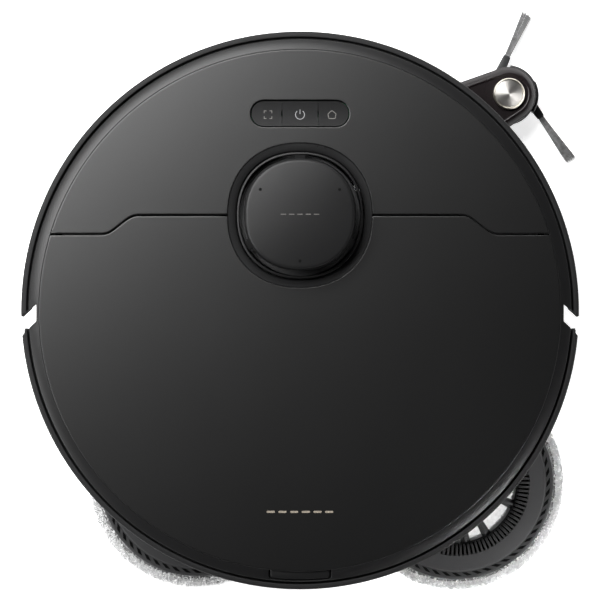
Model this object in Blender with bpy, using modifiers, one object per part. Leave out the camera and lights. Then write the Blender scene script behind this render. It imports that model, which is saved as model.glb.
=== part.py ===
"""Round robot vacuum with a lidar turret, a swing-out side brush and two spinning mops.

Units are metres, +Z is up and +Y is the front of the robot. Every sub-part is placed from the
centre of the round body. The body hangs under one empty, DISC_CENTRE, which is shifted so that
the middle of the whole object's footprint, arm and mops included, falls on the world origin.
"""

import math

import bmesh
import bpy
from mathutils import Matrix, Vector
from mathutils.geometry import convex_hull_2d

# ---------------------------------------------------------------- driving dimensions
DISC_CENTRE = (-0.0015, -0.0083, 0.0)
GAP = 0.0003
FAR = 0.21
BODY_SIDES = 72
TURRET_SIDES = 40

# Round body: plan radii and heights
BODY_RADIUS = 0.175
LIP_INNER = 0.172
LIP_TOP = 0.0762
BODY_BOTTOM = 0.012
RING_INNER = 0.1634
RING_OUTER = 0.1698
RING_BOTTOM = 0.0768
DECK_RADIUS = 0.163
DECK_TOP = 0.0822
DECK_CROWN = 0.0016
DECK_THICKNESS = 0.0025
SKIRT_RADIUS = 0.161
CHASSIS_RADIUS = 0.164
CHASSIS_WALL = 0.003
CHASSIS_BOTTOM = 0.010
CHASSIS_TOP = 0.075
FLOOR_TOP = CHASSIS_BOTTOM + CHASSIS_WALL

# Seam between the front deck and the rear lid: straight, an S step, straight
SEAM_INNER_Y = 0.0595
SEAM_OUTER_Y = 0.0476
SEAM_STEP = (0.1015, 0.1235)
SEAM_GAP = 0.0011

# Slanted slot on each side, between the bumper and the rear side shell
SLOT_X = 0.165
SLOT_FRONT_Y = 0.0038
SLOT_REAR_Y = -0.0067
SLOT_FRONT_SLOPE = 0.80
SLOT_REAR_SLOPE = 0.91

# Finger notch in the ring at the tail
NOTCH_HALF_WIDTH = 0.0197
NOTCH_OUTER = 0.1694
NOTCH_FLOOR = 0.0778

# Lidar turret
TURRET = (0.0, 0.0594)
TURRET_TOP = 0.1038
TURRET_SQUARENESS = 2.2
WELL_RADIUS = 0.0459
PILLAR_ANGLES = (90, 210, 330)

# Button panel
PANEL = (0.0, 0.123)
PANEL_SIZE = (0.0607, 0.0156)
PANEL_TOP = 0.0803
BUTTON_SPLIT = 0.0113

# Side-brush arm: pivot and brush hub
ARM_PIVOT = (0.088, 0.128)
BRUSH_HUB = (0.1347, 0.1394)
ARM_BOTTOM = 0.012
ARM_TOP = 0.030
POCKET_TOP = 0.036
POCKET_REACH = 0.0700
POCKET_RADIUS = 0.0415
BRUSH_ANGLES = (78, -44, 197)
TUFT_ROOT = 0.0263
TUFT_TIP = 0.057
TUFT_LEAN = 7
ARM_CUTOUT_TOP = 0.0355

# Main roller
ROLLER_Y = 0.031
ROLLER_Z = 0.023
ROLLER_RADIUS = 0.022
ROLLER_CORE = 0.0155
ROLLER_HALF = 0.086
ROLLER_FINS = 6

# Drive wheels
WHEEL_X = 0.129
WHEEL_RADIUS = 0.036
WHEEL_WIDTH = 0.020
SUSPENSION_PIVOT = (0.048, 0.036)
WHEEL_ARM_X = (0.1052, 0.1158)

# Caster
CASTER = (0.0, 0.138)
CASTER_TRAIL = 0.006
CASTER_RADIUS = 0.015

# Mops: the left one is fixed in plan, the right one sits on a swing arm
MOP_LEFT = (-0.0676, -0.1104)
MOP_RIGHT = (0.102, -0.1125)
MOP_ARM_PIVOT = (0.093, -0.045)
MOP_RADIUS = 0.066
HOLDER_BOTTOM = 0.0073
REAR_STEP_Y = -0.0425
REAR_FLOOR = 0.0505
GEARBOX_Z = (0.0335, 0.0502)

# Dust box bay
BAY_HALF_WIDTH = 0.0625
DUST_BOX_LOW = (-0.060, -0.038, 0.0145)
DUST_BOX_HIGH = (0.060, 0.001, 0.068)
DUST_WALL = 0.002
DUCT_LOW = (-0.018, -0.002, 0.024)
DUCT_HIGH = (0.018, 0.008, 0.040)
DUST_LID_HINGE = (-0.0375, 0.0700)

PLASTIC_BLACK = ("black_plastic", (0.018, 0.018, 0.020), 0.42, 0.0)
PLASTIC_DARK = ("dark_plastic", (0.012, 0.012, 0.013), 0.55, 0.0)
PLASTIC_GREY = ("grey_plastic", (0.10, 0.10, 0.11), 0.50, 0.0)
PLASTIC_GLOSS = ("gloss_plastic", (0.006, 0.006, 0.007), 0.08, 0.0)
PLASTIC_BROWN = ("brown_black_plastic", (0.022, 0.016, 0.018), 0.35, 0.0)
PLASTIC_SMOKE = ("smoke_plastic", (0.05, 0.05, 0.055), 0.25, 0.0)
RUBBER = ("rubber", (0.015, 0.015, 0.015), 0.85, 0.0)
RUBBER_GREY = ("grey_rubber", (0.09, 0.09, 0.10), 0.75, 0.0)
STEEL = ("steel", (0.60, 0.60, 0.62), 0.28, 1.0)
SILVER = ("turned_silver", (0.72, 0.69, 0.64), 0.25, 1.0)
GOLD = ("contact_gold", (0.80, 0.62, 0.30), 0.25, 1.0)
BOARD_GREEN = ("circuit_board", (0.02, 0.12, 0.06), 0.45, 0.0)
BATTERY_BLUE = ("battery_wrap", (0.03, 0.09, 0.25), 0.40, 0.0)
FILTER_WHITE = ("filter_paper", (0.75, 0.74, 0.70), 0.90, 0.0)
FABRIC_WHITE = ("mop_fabric", (0.80, 0.80, 0.80), 0.95, 0.0)
BRISTLE = ("bristle", (0.10, 0.10, 0.11), 0.60, 0.0)


# ---------------------------------------------------------------- scene and object helpers
def clear_scene():
    for obj in list(bpy.data.objects):
        bpy.data.objects.remove(obj, do_unlink=True)


def new_collection(name):
    collection = bpy.data.collections.new(name)
    bpy.context.scene.collection.children.link(collection)
    return collection


clear_scene()
PARTS = new_collection("robot_vacuum")
CUTTERS = new_collection("cutters")
BODY_ORIGIN = bpy.data.objects.new("body_origin", None)
BODY_ORIGIN.location = DISC_CENTRE
PARTS.objects.link(BODY_ORIGIN)


def finish_material(finish):
    name, colour, roughness, metallic = finish
    found = bpy.data.materials.get(name)
    if found:
        return found
    made = bpy.data.materials.new(name)
    made.use_nodes = True
    shader = made.node_tree.nodes["Principled BSDF"]
    shader.inputs["Base Color"].default_value = (*colour, 1.0)
    shader.inputs["Roughness"].default_value = roughness
    shader.inputs["Metallic"].default_value = metallic
    return made


def add_object(name, data, location=(0, 0, 0), finish=None):
    """A part when it has a finish, a hidden cutter when it has none."""
    obj = bpy.data.objects.new(name, data)
    obj.parent = BODY_ORIGIN
    obj.location = location
    if finish:
        PARTS.objects.link(obj)
        data.materials.append(finish_material(finish))
    else:
        CUTTERS.objects.link(obj)
        obj.hide_render = True
        obj.display_type = "WIRE"
    return obj


def mesh_from(bm, name):
    mesh = bpy.data.meshes.new(name)
    bm.to_mesh(mesh)
    bm.free()
    return mesh


def boolean(target, other, operation):
    modifier = target.modifiers.new(f"{operation.lower()} {other.name}", "BOOLEAN")
    modifier.operation = operation
    modifier.solver = "EXACT"
    modifier.object = other
    return target


def cut(target, *cutters):
    for cutter in cutters:
        boolean(target, cutter, "DIFFERENCE")
    return target


def join(target, *others):
    for other in others:
        boolean(target, other, "UNION")
    return target


def joint_axis(name, location, members, parent=None):
    """An empty on a joint's axis that carries the pieces of one moving body."""
    empty = bpy.data.objects.new(name, None)
    PARTS.objects.link(empty)
    base = Vector((0, 0, 0)) if parent is None else Vector(parent["place"])
    empty["place"] = tuple(location)
    empty.parent = parent or BODY_ORIGIN
    empty.location = Vector(location) - base
    for member in members:
        member.parent = empty
        member.location = Vector(member.location) - Vector(location)
    return empty


# ---------------------------------------------------------------- shape helpers
def box(name, low, high, finish=None, bevel=0.0):
    low, high = Vector(low), Vector(high)
    bm = bmesh.new()
    bmesh.ops.create_cube(bm, size=1.0)
    bmesh.ops.scale(bm, vec=high - low, verts=bm.verts)
    obj = add_object(name, mesh_from(bm, name), (low + high) / 2, finish)
    if bevel:
        modifier = obj.modifiers.new("rounded edges", "BEVEL")
        modifier.width = bevel
        modifier.segments = 1
    return obj


AXIS_TURN = {
    "Z": Matrix.Identity(3),
    "X": Matrix.Rotation(math.pi / 2, 3, "Y"),
    "Y": Matrix.Rotation(-math.pi / 2, 3, "X"),
}


def cylinder(name, radius, start, length, axis="Z", finish=None, sides=32, end_radius=None):
    """A round bar from the point start, along a row axis. end_radius makes it a cone."""
    bm = bmesh.new()
    bmesh.ops.create_cone(
        bm,
        cap_ends=True,
        segments=sides,
        radius1=radius,
        radius2=radius if end_radius is None else end_radius,
        depth=length,
    )
    bmesh.ops.translate(bm, vec=(0, 0, length / 2), verts=bm.verts)
    bmesh.ops.rotate(bm, matrix=AXIS_TURN[axis], verts=bm.verts)
    return add_object(name, mesh_from(bm, name), start, finish)


def turned(name, profile, centre=(0, 0), finish=None, sides=BODY_SIDES):
    """A profile of (radius, height) points, turned about Z. It runs down the outer side first.

    A profile that starts and ends on the axis is left open there, any other is a closed loop.
    """
    mesh = bpy.data.meshes.new(name)
    points = [(radius, 0.0, height) for radius, height in profile]
    edges = [(i, i + 1) for i in range(len(points) - 1)]
    if profile[0][0] > 0:
        edges.append((len(points) - 1, 0))
    mesh.from_pydata(points, edges, [])
    obj = add_object(name, mesh, (*centre, 0), finish)
    modifier = obj.modifiers.new("turn", "SCREW")
    modifier.steps = modifier.render_steps = sides
    modifier.use_merge_vertices = True
    modifier.merge_threshold = 0.00001
    return obj


def baked(obj):
    """The object with its modifiers applied, so that its points can be moved."""
    bpy.context.view_layer.update()
    graph = bpy.context.evaluated_depsgraph_get()
    mesh = bpy.data.meshes.new_from_object(obj.evaluated_get(graph))
    obj.modifiers.clear()
    obj.data = mesh
    return obj


def squared(obj, exponent=TURRET_SQUARENESS):
    """Pushes a turned shape's diagonals outwards, so that circles become superellipses."""
    for vertex in baked(obj).data.vertices:
        angle = math.atan2(vertex.co.y, vertex.co.x)
        power = abs(math.cos(angle)) ** exponent + abs(math.sin(angle)) ** exponent
        vertex.co.xy *= power ** (-1 / exponent)
    return obj


def plate(name, outline, low, high, finish=None, axis="Z"):
    """A flat outline made as thick as from low to high, along Z or, from (y, z) points, along X."""
    curve = bpy.data.curves.new(name, "CURVE")
    curve.dimensions = "2D"
    curve.fill_mode = "BOTH"
    curve.extrude = (high - low) / 2
    spline = curve.splines.new("POLY")
    spline.points.add(len(outline) - 1)
    for point, (u, v) in zip(spline.points, outline):
        point.co = (u, v, 0, 1)
    spline.use_cyclic_u = True
    flat = bpy.data.objects.new(name + "_outline", curve)
    bpy.context.scene.collection.objects.link(flat)
    bpy.context.view_layer.update()
    graph = bpy.context.evaluated_depsgraph_get()
    mesh = bpy.data.meshes.new_from_object(flat.evaluated_get(graph))
    bpy.data.objects.remove(flat)
    bm = bmesh.new()
    bm.from_mesh(mesh)
    bmesh.ops.remove_doubles(bm, verts=bm.verts, dist=0.000001)
    if axis == "X":
        turn = Matrix(((0, 0, 1), (1, 0, 0), (0, 1, 0)))
        bmesh.ops.rotate(bm, matrix=turn, verts=bm.verts)
    bmesh.ops.recalc_face_normals(bm, faces=bm.faces)
    mesh.materials.clear()
    bm.to_mesh(mesh)
    bm.free()
    middle = (low + high) / 2
    return add_object(name, mesh, (middle, 0, 0) if axis == "X" else (0, 0, middle), finish)


def arc(centre, radius, start, end, count):
    """Points on an arc, its ends included. Angles are in degrees."""
    points = []
    for step in range(count):
        angle = math.radians(start + (end - start) * step / (count - 1))
        points.append((centre[0] + radius * math.cos(angle), centre[1] + radius * math.sin(angle)))
    return points


def hull(*circles, count=24):
    """The outline stretched round some circles, each (centre, radius)."""
    points = [p for centre, radius in circles for p in arc(centre, radius, 0, 360 - 360 / count, count)]
    return [points[i] for i in convex_hull_2d(points)]


def pill(centre, size, inset=0.0):
    half = size[0] / 2 - size[1] / 2
    radius = size[1] / 2 - inset
    right = arc((centre[0] + half, centre[1]), radius, -90, 90, 13)
    left = arc((centre[0] - half, centre[1]), radius, 90, 270, 13)
    return right + left


def rounded(low, high, radius):
    """A rectangle with round corners, from its low and high (x, y) corners."""
    corners = (
        ((high[0] - radius, high[1] - radius), 0),
        ((low[0] + radius, high[1] - radius), 90),
        ((low[0] + radius, low[1] + radius), 180),
        ((high[0] - radius, low[1] + radius), 270),
    )
    return [p for centre, start in corners for p in arc(centre, radius, start, start + 90, 5)]


# ---------------------------------------------------------------- chassis
def pocket_outline(pivot_radius, reach):
    """Where the side arm sweeps: round its pivot, and a sector out to the brush hub's reach."""
    sweep = arc(ARM_PIVOT, reach, -86, 50, 24)
    back = arc(ARM_PIVOT, pivot_radius, 60, 262, 18)
    return sweep + back


def chassis_blocks():
    """Solid blocks inside the tub, out of which the wells are cut."""
    yield box("roller_block", (-0.097, 0.0028, 0.011), (0.097, 0.0595, REAR_FLOOR))
    for side, name in ((1, "right"), (-1, "left")):
        xs = sorted((0.1008 * side, 0.149 * side))
        yield box(f"{name}_wheel_block", (xs[0], -0.0435, 0.0112), (xs[1], 0.0600, 0.0748))
        xs = sorted((BAY_HALF_WIDTH * side, (BAY_HALF_WIDTH + 0.003) * side))
        yield box(f"{name}_bay_wall", (xs[0], -0.0415, 0.0115), (xs[1], 0.0050, 0.0730))
    wall_line = pocket_outline(POCKET_RADIUS + 0.003, POCKET_REACH + 0.0025)
    yield plate("arm_pocket_block", wall_line, 0.0108, POCKET_TOP + 0.0025)
    yield cylinder("caster_block", 0.026, (*CASTER, 0.0106), 0.0344)
    yield cylinder("mop_arm_block", 0.020, (*MOP_ARM_PIVOT, 0.0109), 0.0426)
    yield box("rear_wall", (-FAR, REAR_STEP_Y - 0.001, 0.0104), (FAR, REAR_STEP_Y + 0.003, 0.0535))
    yield box("rear_floor", (-FAR, -FAR, REAR_FLOOR - 0.001), (FAR, REAR_STEP_Y + 0.002, 0.0533))


def chassis_wells():
    """Wells, pockets and holes, cut from below or through."""
    yield box("rear_underside", (-FAR, -FAR, 0.0), (FAR, REAR_STEP_Y, REAR_FLOOR))
    yield cylinder("mop_arm_pocket", 0.017, (*MOP_ARM_PIVOT, 0.0), REAR_FLOOR)
    yield cylinder("mop_arm_shaft_hole", 0.0064, (*MOP_ARM_PIVOT, 0.04), 0.02)
    yield box("roller_mouth", (-0.091, 0.0055, 0.0), (0.091, 0.0565, ROLLER_Z))
    yield cylinder("roller_roof", 0.025, (-0.091, ROLLER_Y, ROLLER_Z), 0.182, "X", sides=40)
    yield box("guard_recess", (-0.0963, 0.0012, 0.0), (0.0963, 0.0608, 0.0123))
    yield box("duct", DUCT_LOW, DUCT_HIGH)
    for side, name in ((1, "right"), (-1, "left")):
        xs = sorted((0.116 * side, 0.1455 * side))
        yield box(f"{name}_wheel_well", (xs[0], -0.0395, 0.0), (xs[1], 0.0395, 0.0734))
        xs = sorted((0.103 * side, 0.118 * side))
        yield box(f"{name}_arm_well", (xs[0], -0.0200, 0.0), (xs[1], 0.0570, 0.0727))
        start = 0.1006 * side if side > 0 else -0.1206
        yield cylinder(f"{name}_pin_hole", 0.0033, (start, *SUSPENSION_PIVOT), 0.020, "X", sides=20)
    yield plate("arm_pocket", pocket_outline(POCKET_RADIUS, POCKET_REACH), 0.0, POCKET_TOP)
    yield cylinder("arm_shaft_hole", 0.0054, (*ARM_PIVOT, 0.03), 0.02)
    yield cylinder("arm_motor_window", 0.0126, (*ARM_PIVOT, 0.0389), 0.0220, sides=24)
    yield cylinder("caster_socket", 0.0225, (*CASTER, 0.0), 0.0345, sides=40)
    yield cylinder("caster_stem_hole", 0.0044, (*CASTER, 0.03), 0.0132)
    yield box("camera_cutout", (-0.0275, 0.150, 0.0450), (0.0275, 0.180, 0.0690))
    for side, name in ((1, "right"), (-1, "left")):
        xs = sorted((0.062 * side, 0.078 * side))
        yield box(f"{name}_bumper_window", (xs[0], 0.130, 0.0470), (xs[1], 0.157, 0.0560))
    for index, (x, y) in enumerate(cliff_places()):
        low = (x - 0.0095, y - 0.0045, 0.0)
        yield box(f"cliff_pocket_{index}", low, (x + 0.0095, y + 0.0045, 0.020))


def build_chassis():
    """A thin tub with blocks joined inside it, wells cut out, and its outside trimmed round."""
    height = CHASSIS_TOP - CHASSIS_BOTTOM
    rough = CHASSIS_RADIUS + 0.0025
    tub = cylinder("chassis", rough, (0, 0, CHASSIS_BOTTOM), height, "Z", PLASTIC_DARK, BODY_SIDES)
    inside = CHASSIS_RADIUS - CHASSIS_WALL
    cut(tub, cylinder("tub_inside", inside, (0, 0, FLOOR_TOP), 0.1, sides=BODY_SIDES))
    join(tub, *chassis_blocks())
    cut(tub, *chassis_wells())
    outer = cylinder("chassis_trim", CHASSIS_RADIUS, (0, 0, 0), 0.1, sides=BODY_SIDES)
    boolean(tub, outer, "INTERSECT")


# ---------------------------------------------------------------- top plates, ring, side shell
def deck_height(radius):
    return DECK_TOP - DECK_CROWN * (radius / DECK_RADIUS) ** 2


def deck_blank(name, finish):
    """The whole crowned top disc with its rim skirt, before the seam is cut."""
    top = [(r, deck_height(r)) for r in (0.0, 0.080, 0.130, 0.1605)]
    under = [(r, deck_height(r) - DECK_THICKNESS) for r in (0.158, 0.0)]
    edge = [
        (DECK_RADIUS - 0.0004, deck_height(DECK_RADIUS) - 0.0002),
        (DECK_RADIUS, 0.0780),
        (SKIRT_RADIUS, 0.0776),
        (SKIRT_RADIUS, CHASSIS_TOP + GAP),
        (0.158, CHASSIS_TOP + GAP),
    ]
    return turned(name, top + edge + under, finish=finish)


def seam_y(x):
    """The seam's middle line at this distance from the centre plane."""
    along = (abs(x) - SEAM_STEP[0]) / (SEAM_STEP[1] - SEAM_STEP[0])
    along = min(max(along, 0.0), 1.0)
    smooth = along * along * (3 - 2 * along)
    return SEAM_INNER_Y + (SEAM_OUTER_Y - SEAM_INNER_Y) * smooth


def seam_cutter(name, side):
    """Everything on one side of the seam, half the gap included: side 1 is the front."""
    first, last = SEAM_STEP
    steps = [first + (last - first) * i / 8 for i in range(9)]
    xs = [-FAR] + [-x for x in reversed(steps)] + steps + [FAR]
    line = [(x, seam_y(x) - side * SEAM_GAP / 2) for x in xs]
    return plate(name, line + [(FAR, side * FAR), (-FAR, side * FAR)], 0.07, 0.09)


def turret_hole(name):
    radius = WELL_RADIUS + GAP
    hole = turned(name, [(0, 0.1), (radius, 0.1), (radius, 0.06), (0, 0.06)], TURRET, sides=TURRET_SIDES)
    return squared(hole)


def build_top():
    front = deck_blank("front_deck", PLASTIC_BLACK)
    panel_hole = plate("panel_hole", pill(PANEL, PANEL_SIZE, -GAP), 0.07, 0.09)
    cut(front, seam_cutter("behind_seam", -1), turret_hole("front_turret_hole"), panel_hole)
    lid = deck_blank("rear_lid", PLASTIC_BLACK)
    cut(lid, seam_cutter("ahead_of_seam", 1), turret_hole("lid_turret_hole"))
    joint_axis("rear_lid_lift_axis", (0, 0, 0), [lid])


def slot_plate(name, keep, inner=0.0):
    """Cutter that leaves what is ahead of the slot (keep 1) or behind it (keep -1)."""
    y, slope = (SLOT_FRONT_Y, SLOT_FRONT_SLOPE) if keep > 0 else (SLOT_REAR_Y, SLOT_REAR_SLOPE)
    bend = 0.160
    outer_y = y - slope * (FAR - SLOT_X)
    inner_y = y - slope * (bend - SLOT_X)
    line = [(-FAR, outer_y), (-bend, inner_y), (bend, inner_y), (FAR, outer_y)]
    return plate(name, line + [(FAR, -keep * FAR), (-FAR, -keep * FAR)], 0.0, 0.1)


def slot_cutter(name, side):
    """The open slot itself, on the right (side 1) or on the left."""
    reach = 0.190
    front = SLOT_FRONT_Y - SLOT_FRONT_SLOPE * (reach - SLOT_X)
    rear = SLOT_REAR_Y - SLOT_REAR_SLOPE * (reach - SLOT_X)
    outline = [(SLOT_X, SLOT_FRONT_Y), (reach, front), (reach, rear), (SLOT_X, SLOT_REAR_Y)]
    return plate(name, [(side * x, y) for x, y in outline], 0.05, 0.09)


def build_ring():
    profile = [
        (RING_INNER, 0.0803),
        (0.1692, 0.0789),
        (RING_OUTER, 0.0783),
        (RING_OUTER, RING_BOTTOM),
        (0.1654, RING_BOTTOM),
        (0.1654, CHASSIS_TOP + GAP),
        (RING_INNER, CHASSIS_TOP + GAP),
    ]
    ring = turned("rim_ring", profile, finish=PLASTIC_DARK)
    cut(ring, slot_cutter("right_slot", 1), slot_cutter("left_slot", -1))
    low = (-NOTCH_HALF_WIDTH, -NOTCH_OUTER)
    notch = plate("tail_notch", rounded(low, (NOTCH_HALF_WIDTH, -0.150), 0.0035), NOTCH_FLOOR, 0.09)
    cut(ring, notch)


def wall_profile(bottom_flange):
    """The outer wall's section, shared by the bumper and the rear side shell."""
    outer = [
        (LIP_INNER, LIP_TOP),
        (0.1742, LIP_TOP - 0.0005),
        (BODY_RADIUS, LIP_TOP - 0.0026),
        (BODY_RADIUS, 0.0240),
        (0.1735, 0.0155),
        (0.1704, BODY_BOTTOM),
    ]
    inner = [(bottom_flange, BODY_BOTTOM), (bottom_flange, 0.0145), (LIP_INNER, 0.0240)]
    return outer + inner


def build_rear_shell():
    shelf = [(LIP_INNER, 0.0720), (0.1646, 0.0720), (0.1646, 0.0740), (LIP_INNER, 0.0740)]
    shell = turned("rear_shell", wall_profile(0.1682) + shelf, finish=PLASTIC_BLACK)
    cut(shell, slot_plate("ahead_of_shell", -1))
    cut(shell, box("above_mops", (-FAR, -FAR, 0.0), (FAR, REAR_STEP_Y, 0.0320)))
    for side in (-1, 1):
        name = "right" if side > 0 else "left"
        xs = sorted((0.015 * side, 0.029 * side))
        hole = box(
            f"{name}_contact_hole",
            (xs[0] - GAP, -0.180, 0.0380 - GAP),
            (xs[1] + GAP, -0.168, 0.0460 + GAP),
        )
        cut(shell, hole)
        low, high = (xs[0], -0.1740, 0.0380), (xs[1], -0.1716, 0.0460)
        box(f"charging_contact_{name}", low, high, GOLD, bevel=0.0006)


# ---------------------------------------------------------------- bumper
def window_wedge(name, half_angle, low, high):
    reach = 0.2
    x = reach * math.tan(math.radians(half_angle))
    return plate(name, [(0, 0), (x, reach), (-x, reach)], low, high)


def build_bumper():
    bumper = turned("front_bumper", wall_profile(0.1682), finish=PLASTIC_BLACK)
    cut(bumper, slot_plate("behind_bumper", 1))
    sweep = arc((0, 0), 0.3, 24, 63, 6)
    cut(bumper, plate("arm_gate", [(0, 0)] + sweep, 0.0, ARM_CUTOUT_TOP))
    cut(bumper, window_wedge("window_hole", 20.1, 0.0420, 0.0680))
    for side, name in ((1, "right"), (-1, "left")):
        xs = sorted((0.064 * side, 0.076 * side))
        tab = box(f"{name}_guide_tab", (xs[0], 0.142, 0.0485), (xs[1], 0.1575, 0.0545))
        join(bumper, tab)
    window = turned(
        "sensor_window",
        [(0.1748, 0.0677), (0.1748, 0.0423), (0.1724, 0.0423), (0.1724, 0.0677)],
        finish=PLASTIC_GLOSS,
    )
    boolean(window, window_wedge("window_sector", 19.9, 0.03, 0.08), "INTERSECT")
    joint_axis("bumper_slide_axis", (0, 0, 0), [bumper, window])
    camera = box("camera_module", (-0.0265, 0.1500, 0.0460), (0.0265, 0.1640, 0.0680), PLASTIC_DARK)
    for x, radius in ((-0.017, 0.005), (0.0, 0.0065), (0.017, 0.005)):
        join(camera, cylinder("lens_barrel", radius, (x, 0.160, 0.057), 0.0065, "Y", sides=24))
    cut(camera, cylinder("lens_glass_recess", 0.0045, (0, 0.1655, 0.057), 0.004, "Y", sides=24))


# ---------------------------------------------------------------- lidar turret
def build_turret():
    well = turned(
        "turret_well",
        [
            (WELL_RADIUS, 0.0818),
            (WELL_RADIUS, 0.0795),
            (0.0440, 0.0760),
            (0.0440, 0.0520),
            (0.0415, 0.0520),
            (0.0415, 0.0755),
            (0.0401, 0.0774),
            (0.0436, 0.0788),
        ],
        TURRET,
        PLASTIC_BLACK,
        sides=TURRET_SIDES,
    )
    squared(well)

    base = turned(
        "lidar_base",
        [(0, 0.0768), (0.0380, 0.0768), (0.0385, 0.0762), (0.0385, 0.0640), (0.0130, 0.0640),
         (0.0130, 0.0512), (0, 0.0512)],
        TURRET,
        PLASTIC_DARK,
        sides=36,
    )
    rotor = turned(
        "lidar_rotor",
        [(0, 0.0965), (0.0255, 0.0965), (0.0265, 0.0955), (0.0265, 0.0830), (0.0285, 0.0815),
         (0.0285, 0.0772), (0, 0.0772)],
        TURRET,
        PLASTIC_DARK,
        sides=36,
    )
    x, y = TURRET
    for offset, radius in ((-0.0095, 0.0062), (0.0085, 0.0050)):
        cut(rotor, cylinder("lens_bore", radius, (x + offset, y + 0.012, 0.0895), 0.02, "Y", sides=16))

    cap = [
        (0, TURRET_TOP),
        (0.0315, TURRET_TOP - 0.0002),
        (0.0334, TURRET_TOP - 0.0017),
        (0.0346, TURRET_TOP - 0.0068),
        (0.0328, TURRET_TOP - 0.0068),
        (0.0315, TURRET_TOP - 0.0021),
        (0, TURRET_TOP - 0.0019),
    ]
    cover = squared(turned("turret_cover", cap, TURRET, PLASTIC_BLACK, sides=TURRET_SIDES))
    ledge = turned(
        "cover_ledge",
        [(0.0388, 0.0848), (0.0394, 0.0834), (0.0394, 0.0790), (0.0364, 0.0790), (0.0364, 0.0848)],
        TURRET,
        sides=TURRET_SIDES,
    )
    join(cover, squared(ledge))
    half_width = 0.0032
    for angle in PILLAR_ANGLES:
        # Heights run up the pillar, radii lean inwards from the ledge to the cap.
        section = [(0.0366, 0.0838), (0.0381, 0.0838), (0.0341, 0.0985), (0.0331, 0.0985)]
        stretch = 1.017 if angle != 90 else 1.0
        section = [(r * stretch, z) for r, z in section]
        pillar = plate(f"pillar_{angle}", section, -half_width, half_width, axis="X")
        pillar.location = (x, y, 0)
        pillar.rotation_euler = (0, 0, math.radians(angle - 90))
        join(cover, pillar)
    for angle in (32, 148, 270):
        px, py = arc((x, y), 0.0283, angle, angle + 1, 2)[0]
        cut(cover, cylinder(f"cap_hole_{angle}", 0.0006, (px, py, TURRET_TOP - 0.001), 0.002, sides=10))
    joint_axis("turret_press_axis", (x, y, 0), [cover])
    joint_axis("lidar_spin_axis", (x, y, 0), [rotor])


# ---------------------------------------------------------------- buttons and boards
def build_buttons():
    half = PANEL_SIZE[0] / 2
    edges = {
        "button_spot": (-half - 0.01, -BUTTON_SPLIT - GAP / 2),
        "button_power": (-BUTTON_SPLIT + GAP / 2, BUTTON_SPLIT - GAP / 2),
        "button_home": (BUTTON_SPLIT + GAP / 2, half + 0.01),
    }
    centres = {"button_spot": -0.020, "button_power": 0.0, "button_home": 0.020}
    for name, (left, right) in edges.items():
        key = plate(name, pill(PANEL, PANEL_SIZE), 0.0783, PANEL_TOP, PLASTIC_BLACK)
        keep = box(name + "_zone", (left, 0.10, 0.07), (right, 0.15, 0.09))
        boolean(key, keep, "INTERSECT")
        stem = cylinder(name + "_stem", 0.0024, (centres[name], PANEL[1], 0.0763), 0.003, sides=16)
        join(key, stem)
        joint_axis(name + "_axis", (centres[name], PANEL[1], 0), [key])
    board = box("button_board", (-0.031, 0.1155, 0.0722), (0.031, 0.1305, 0.0738), BOARD_GREEN)
    for centre in centres.values():
        dome = cylinder("switch_dome", 0.0028, (centre, PANEL[1], 0.0730), 0.0023, sides=16)
        join(board, dome)


def build_electronics():
    board = box("main_board", (0.045, 0.064, 0.0410), (0.118, 0.100, 0.0426), BOARD_GREEN)
    for index, (x, y, w, d, h) in enumerate(
        (
            (0.055, 0.070, 0.014, 0.014, 0.003),
            (0.075, 0.070, 0.012, 0.010, 0.002),
            (0.095, 0.068, 0.010, 0.016, 0.007),
            (0.055, 0.088, 0.020, 0.008, 0.009),
            (0.082, 0.086, 0.008, 0.010, 0.005),
        )
    ):
        join(board, box(f"chip_{index}", (x, y, 0.042), (x + w, y + d, 0.0426 + h)))
    box("battery_pack", (-0.068, -0.128, 0.0538), (0.068, -0.058, 0.0735), BATTERY_BLUE, bevel=0.003)
    tank = box("water_tank", (-0.121, -0.099, 0.0538), (-0.0740, -0.052, 0.0725), PLASTIC_SMOKE, 0.003)
    join(tank, cylinder("filler_neck", 0.007, (-0.098, -0.075, 0.070), 0.0045, sides=20))
    pump = cylinder("water_pump", 0.010, (0.078, -0.080, 0.0645), 0.022, "X", PLASTIC_GREY, 24)
    join(pump, box("pump_head", (0.096, -0.091, 0.0540), (0.110, -0.069, 0.0738)))
    fan = turned(
        "suction_fan",
        [(0, 0.066), (0.013, 0.066), (0.014, 0.060), (0.028, 0.052), (0.030, 0.020), (0.026, 0.0135),
         (0, 0.0135)],
        (-0.080, 0.093),
        PLASTIC_GREY,
        sides=28,
    )
    join(fan, box("fan_outlet", (-0.122, 0.080, 0.020), (-0.095, 0.096, 0.044)))
    motor = cylinder("roller_motor", 0.013, (0.006, 0.0765, 0.0280), 0.040, "X", STEEL, 24)
    join(motor, cylinder("roller_motor_boss", 0.005, (0.045, 0.0765, 0.0280), 0.006, "X", sides=16))
    arm_motor = cylinder("side_arm_motor", 0.012, (*ARM_PIVOT, 0.0392), 0.021, "Z", PLASTIC_GREY, 24)
    cut(arm_motor, cylinder("arm_motor_socket", 0.0055, (*ARM_PIVOT, 0.030), 0.0175, sides=16))


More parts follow.
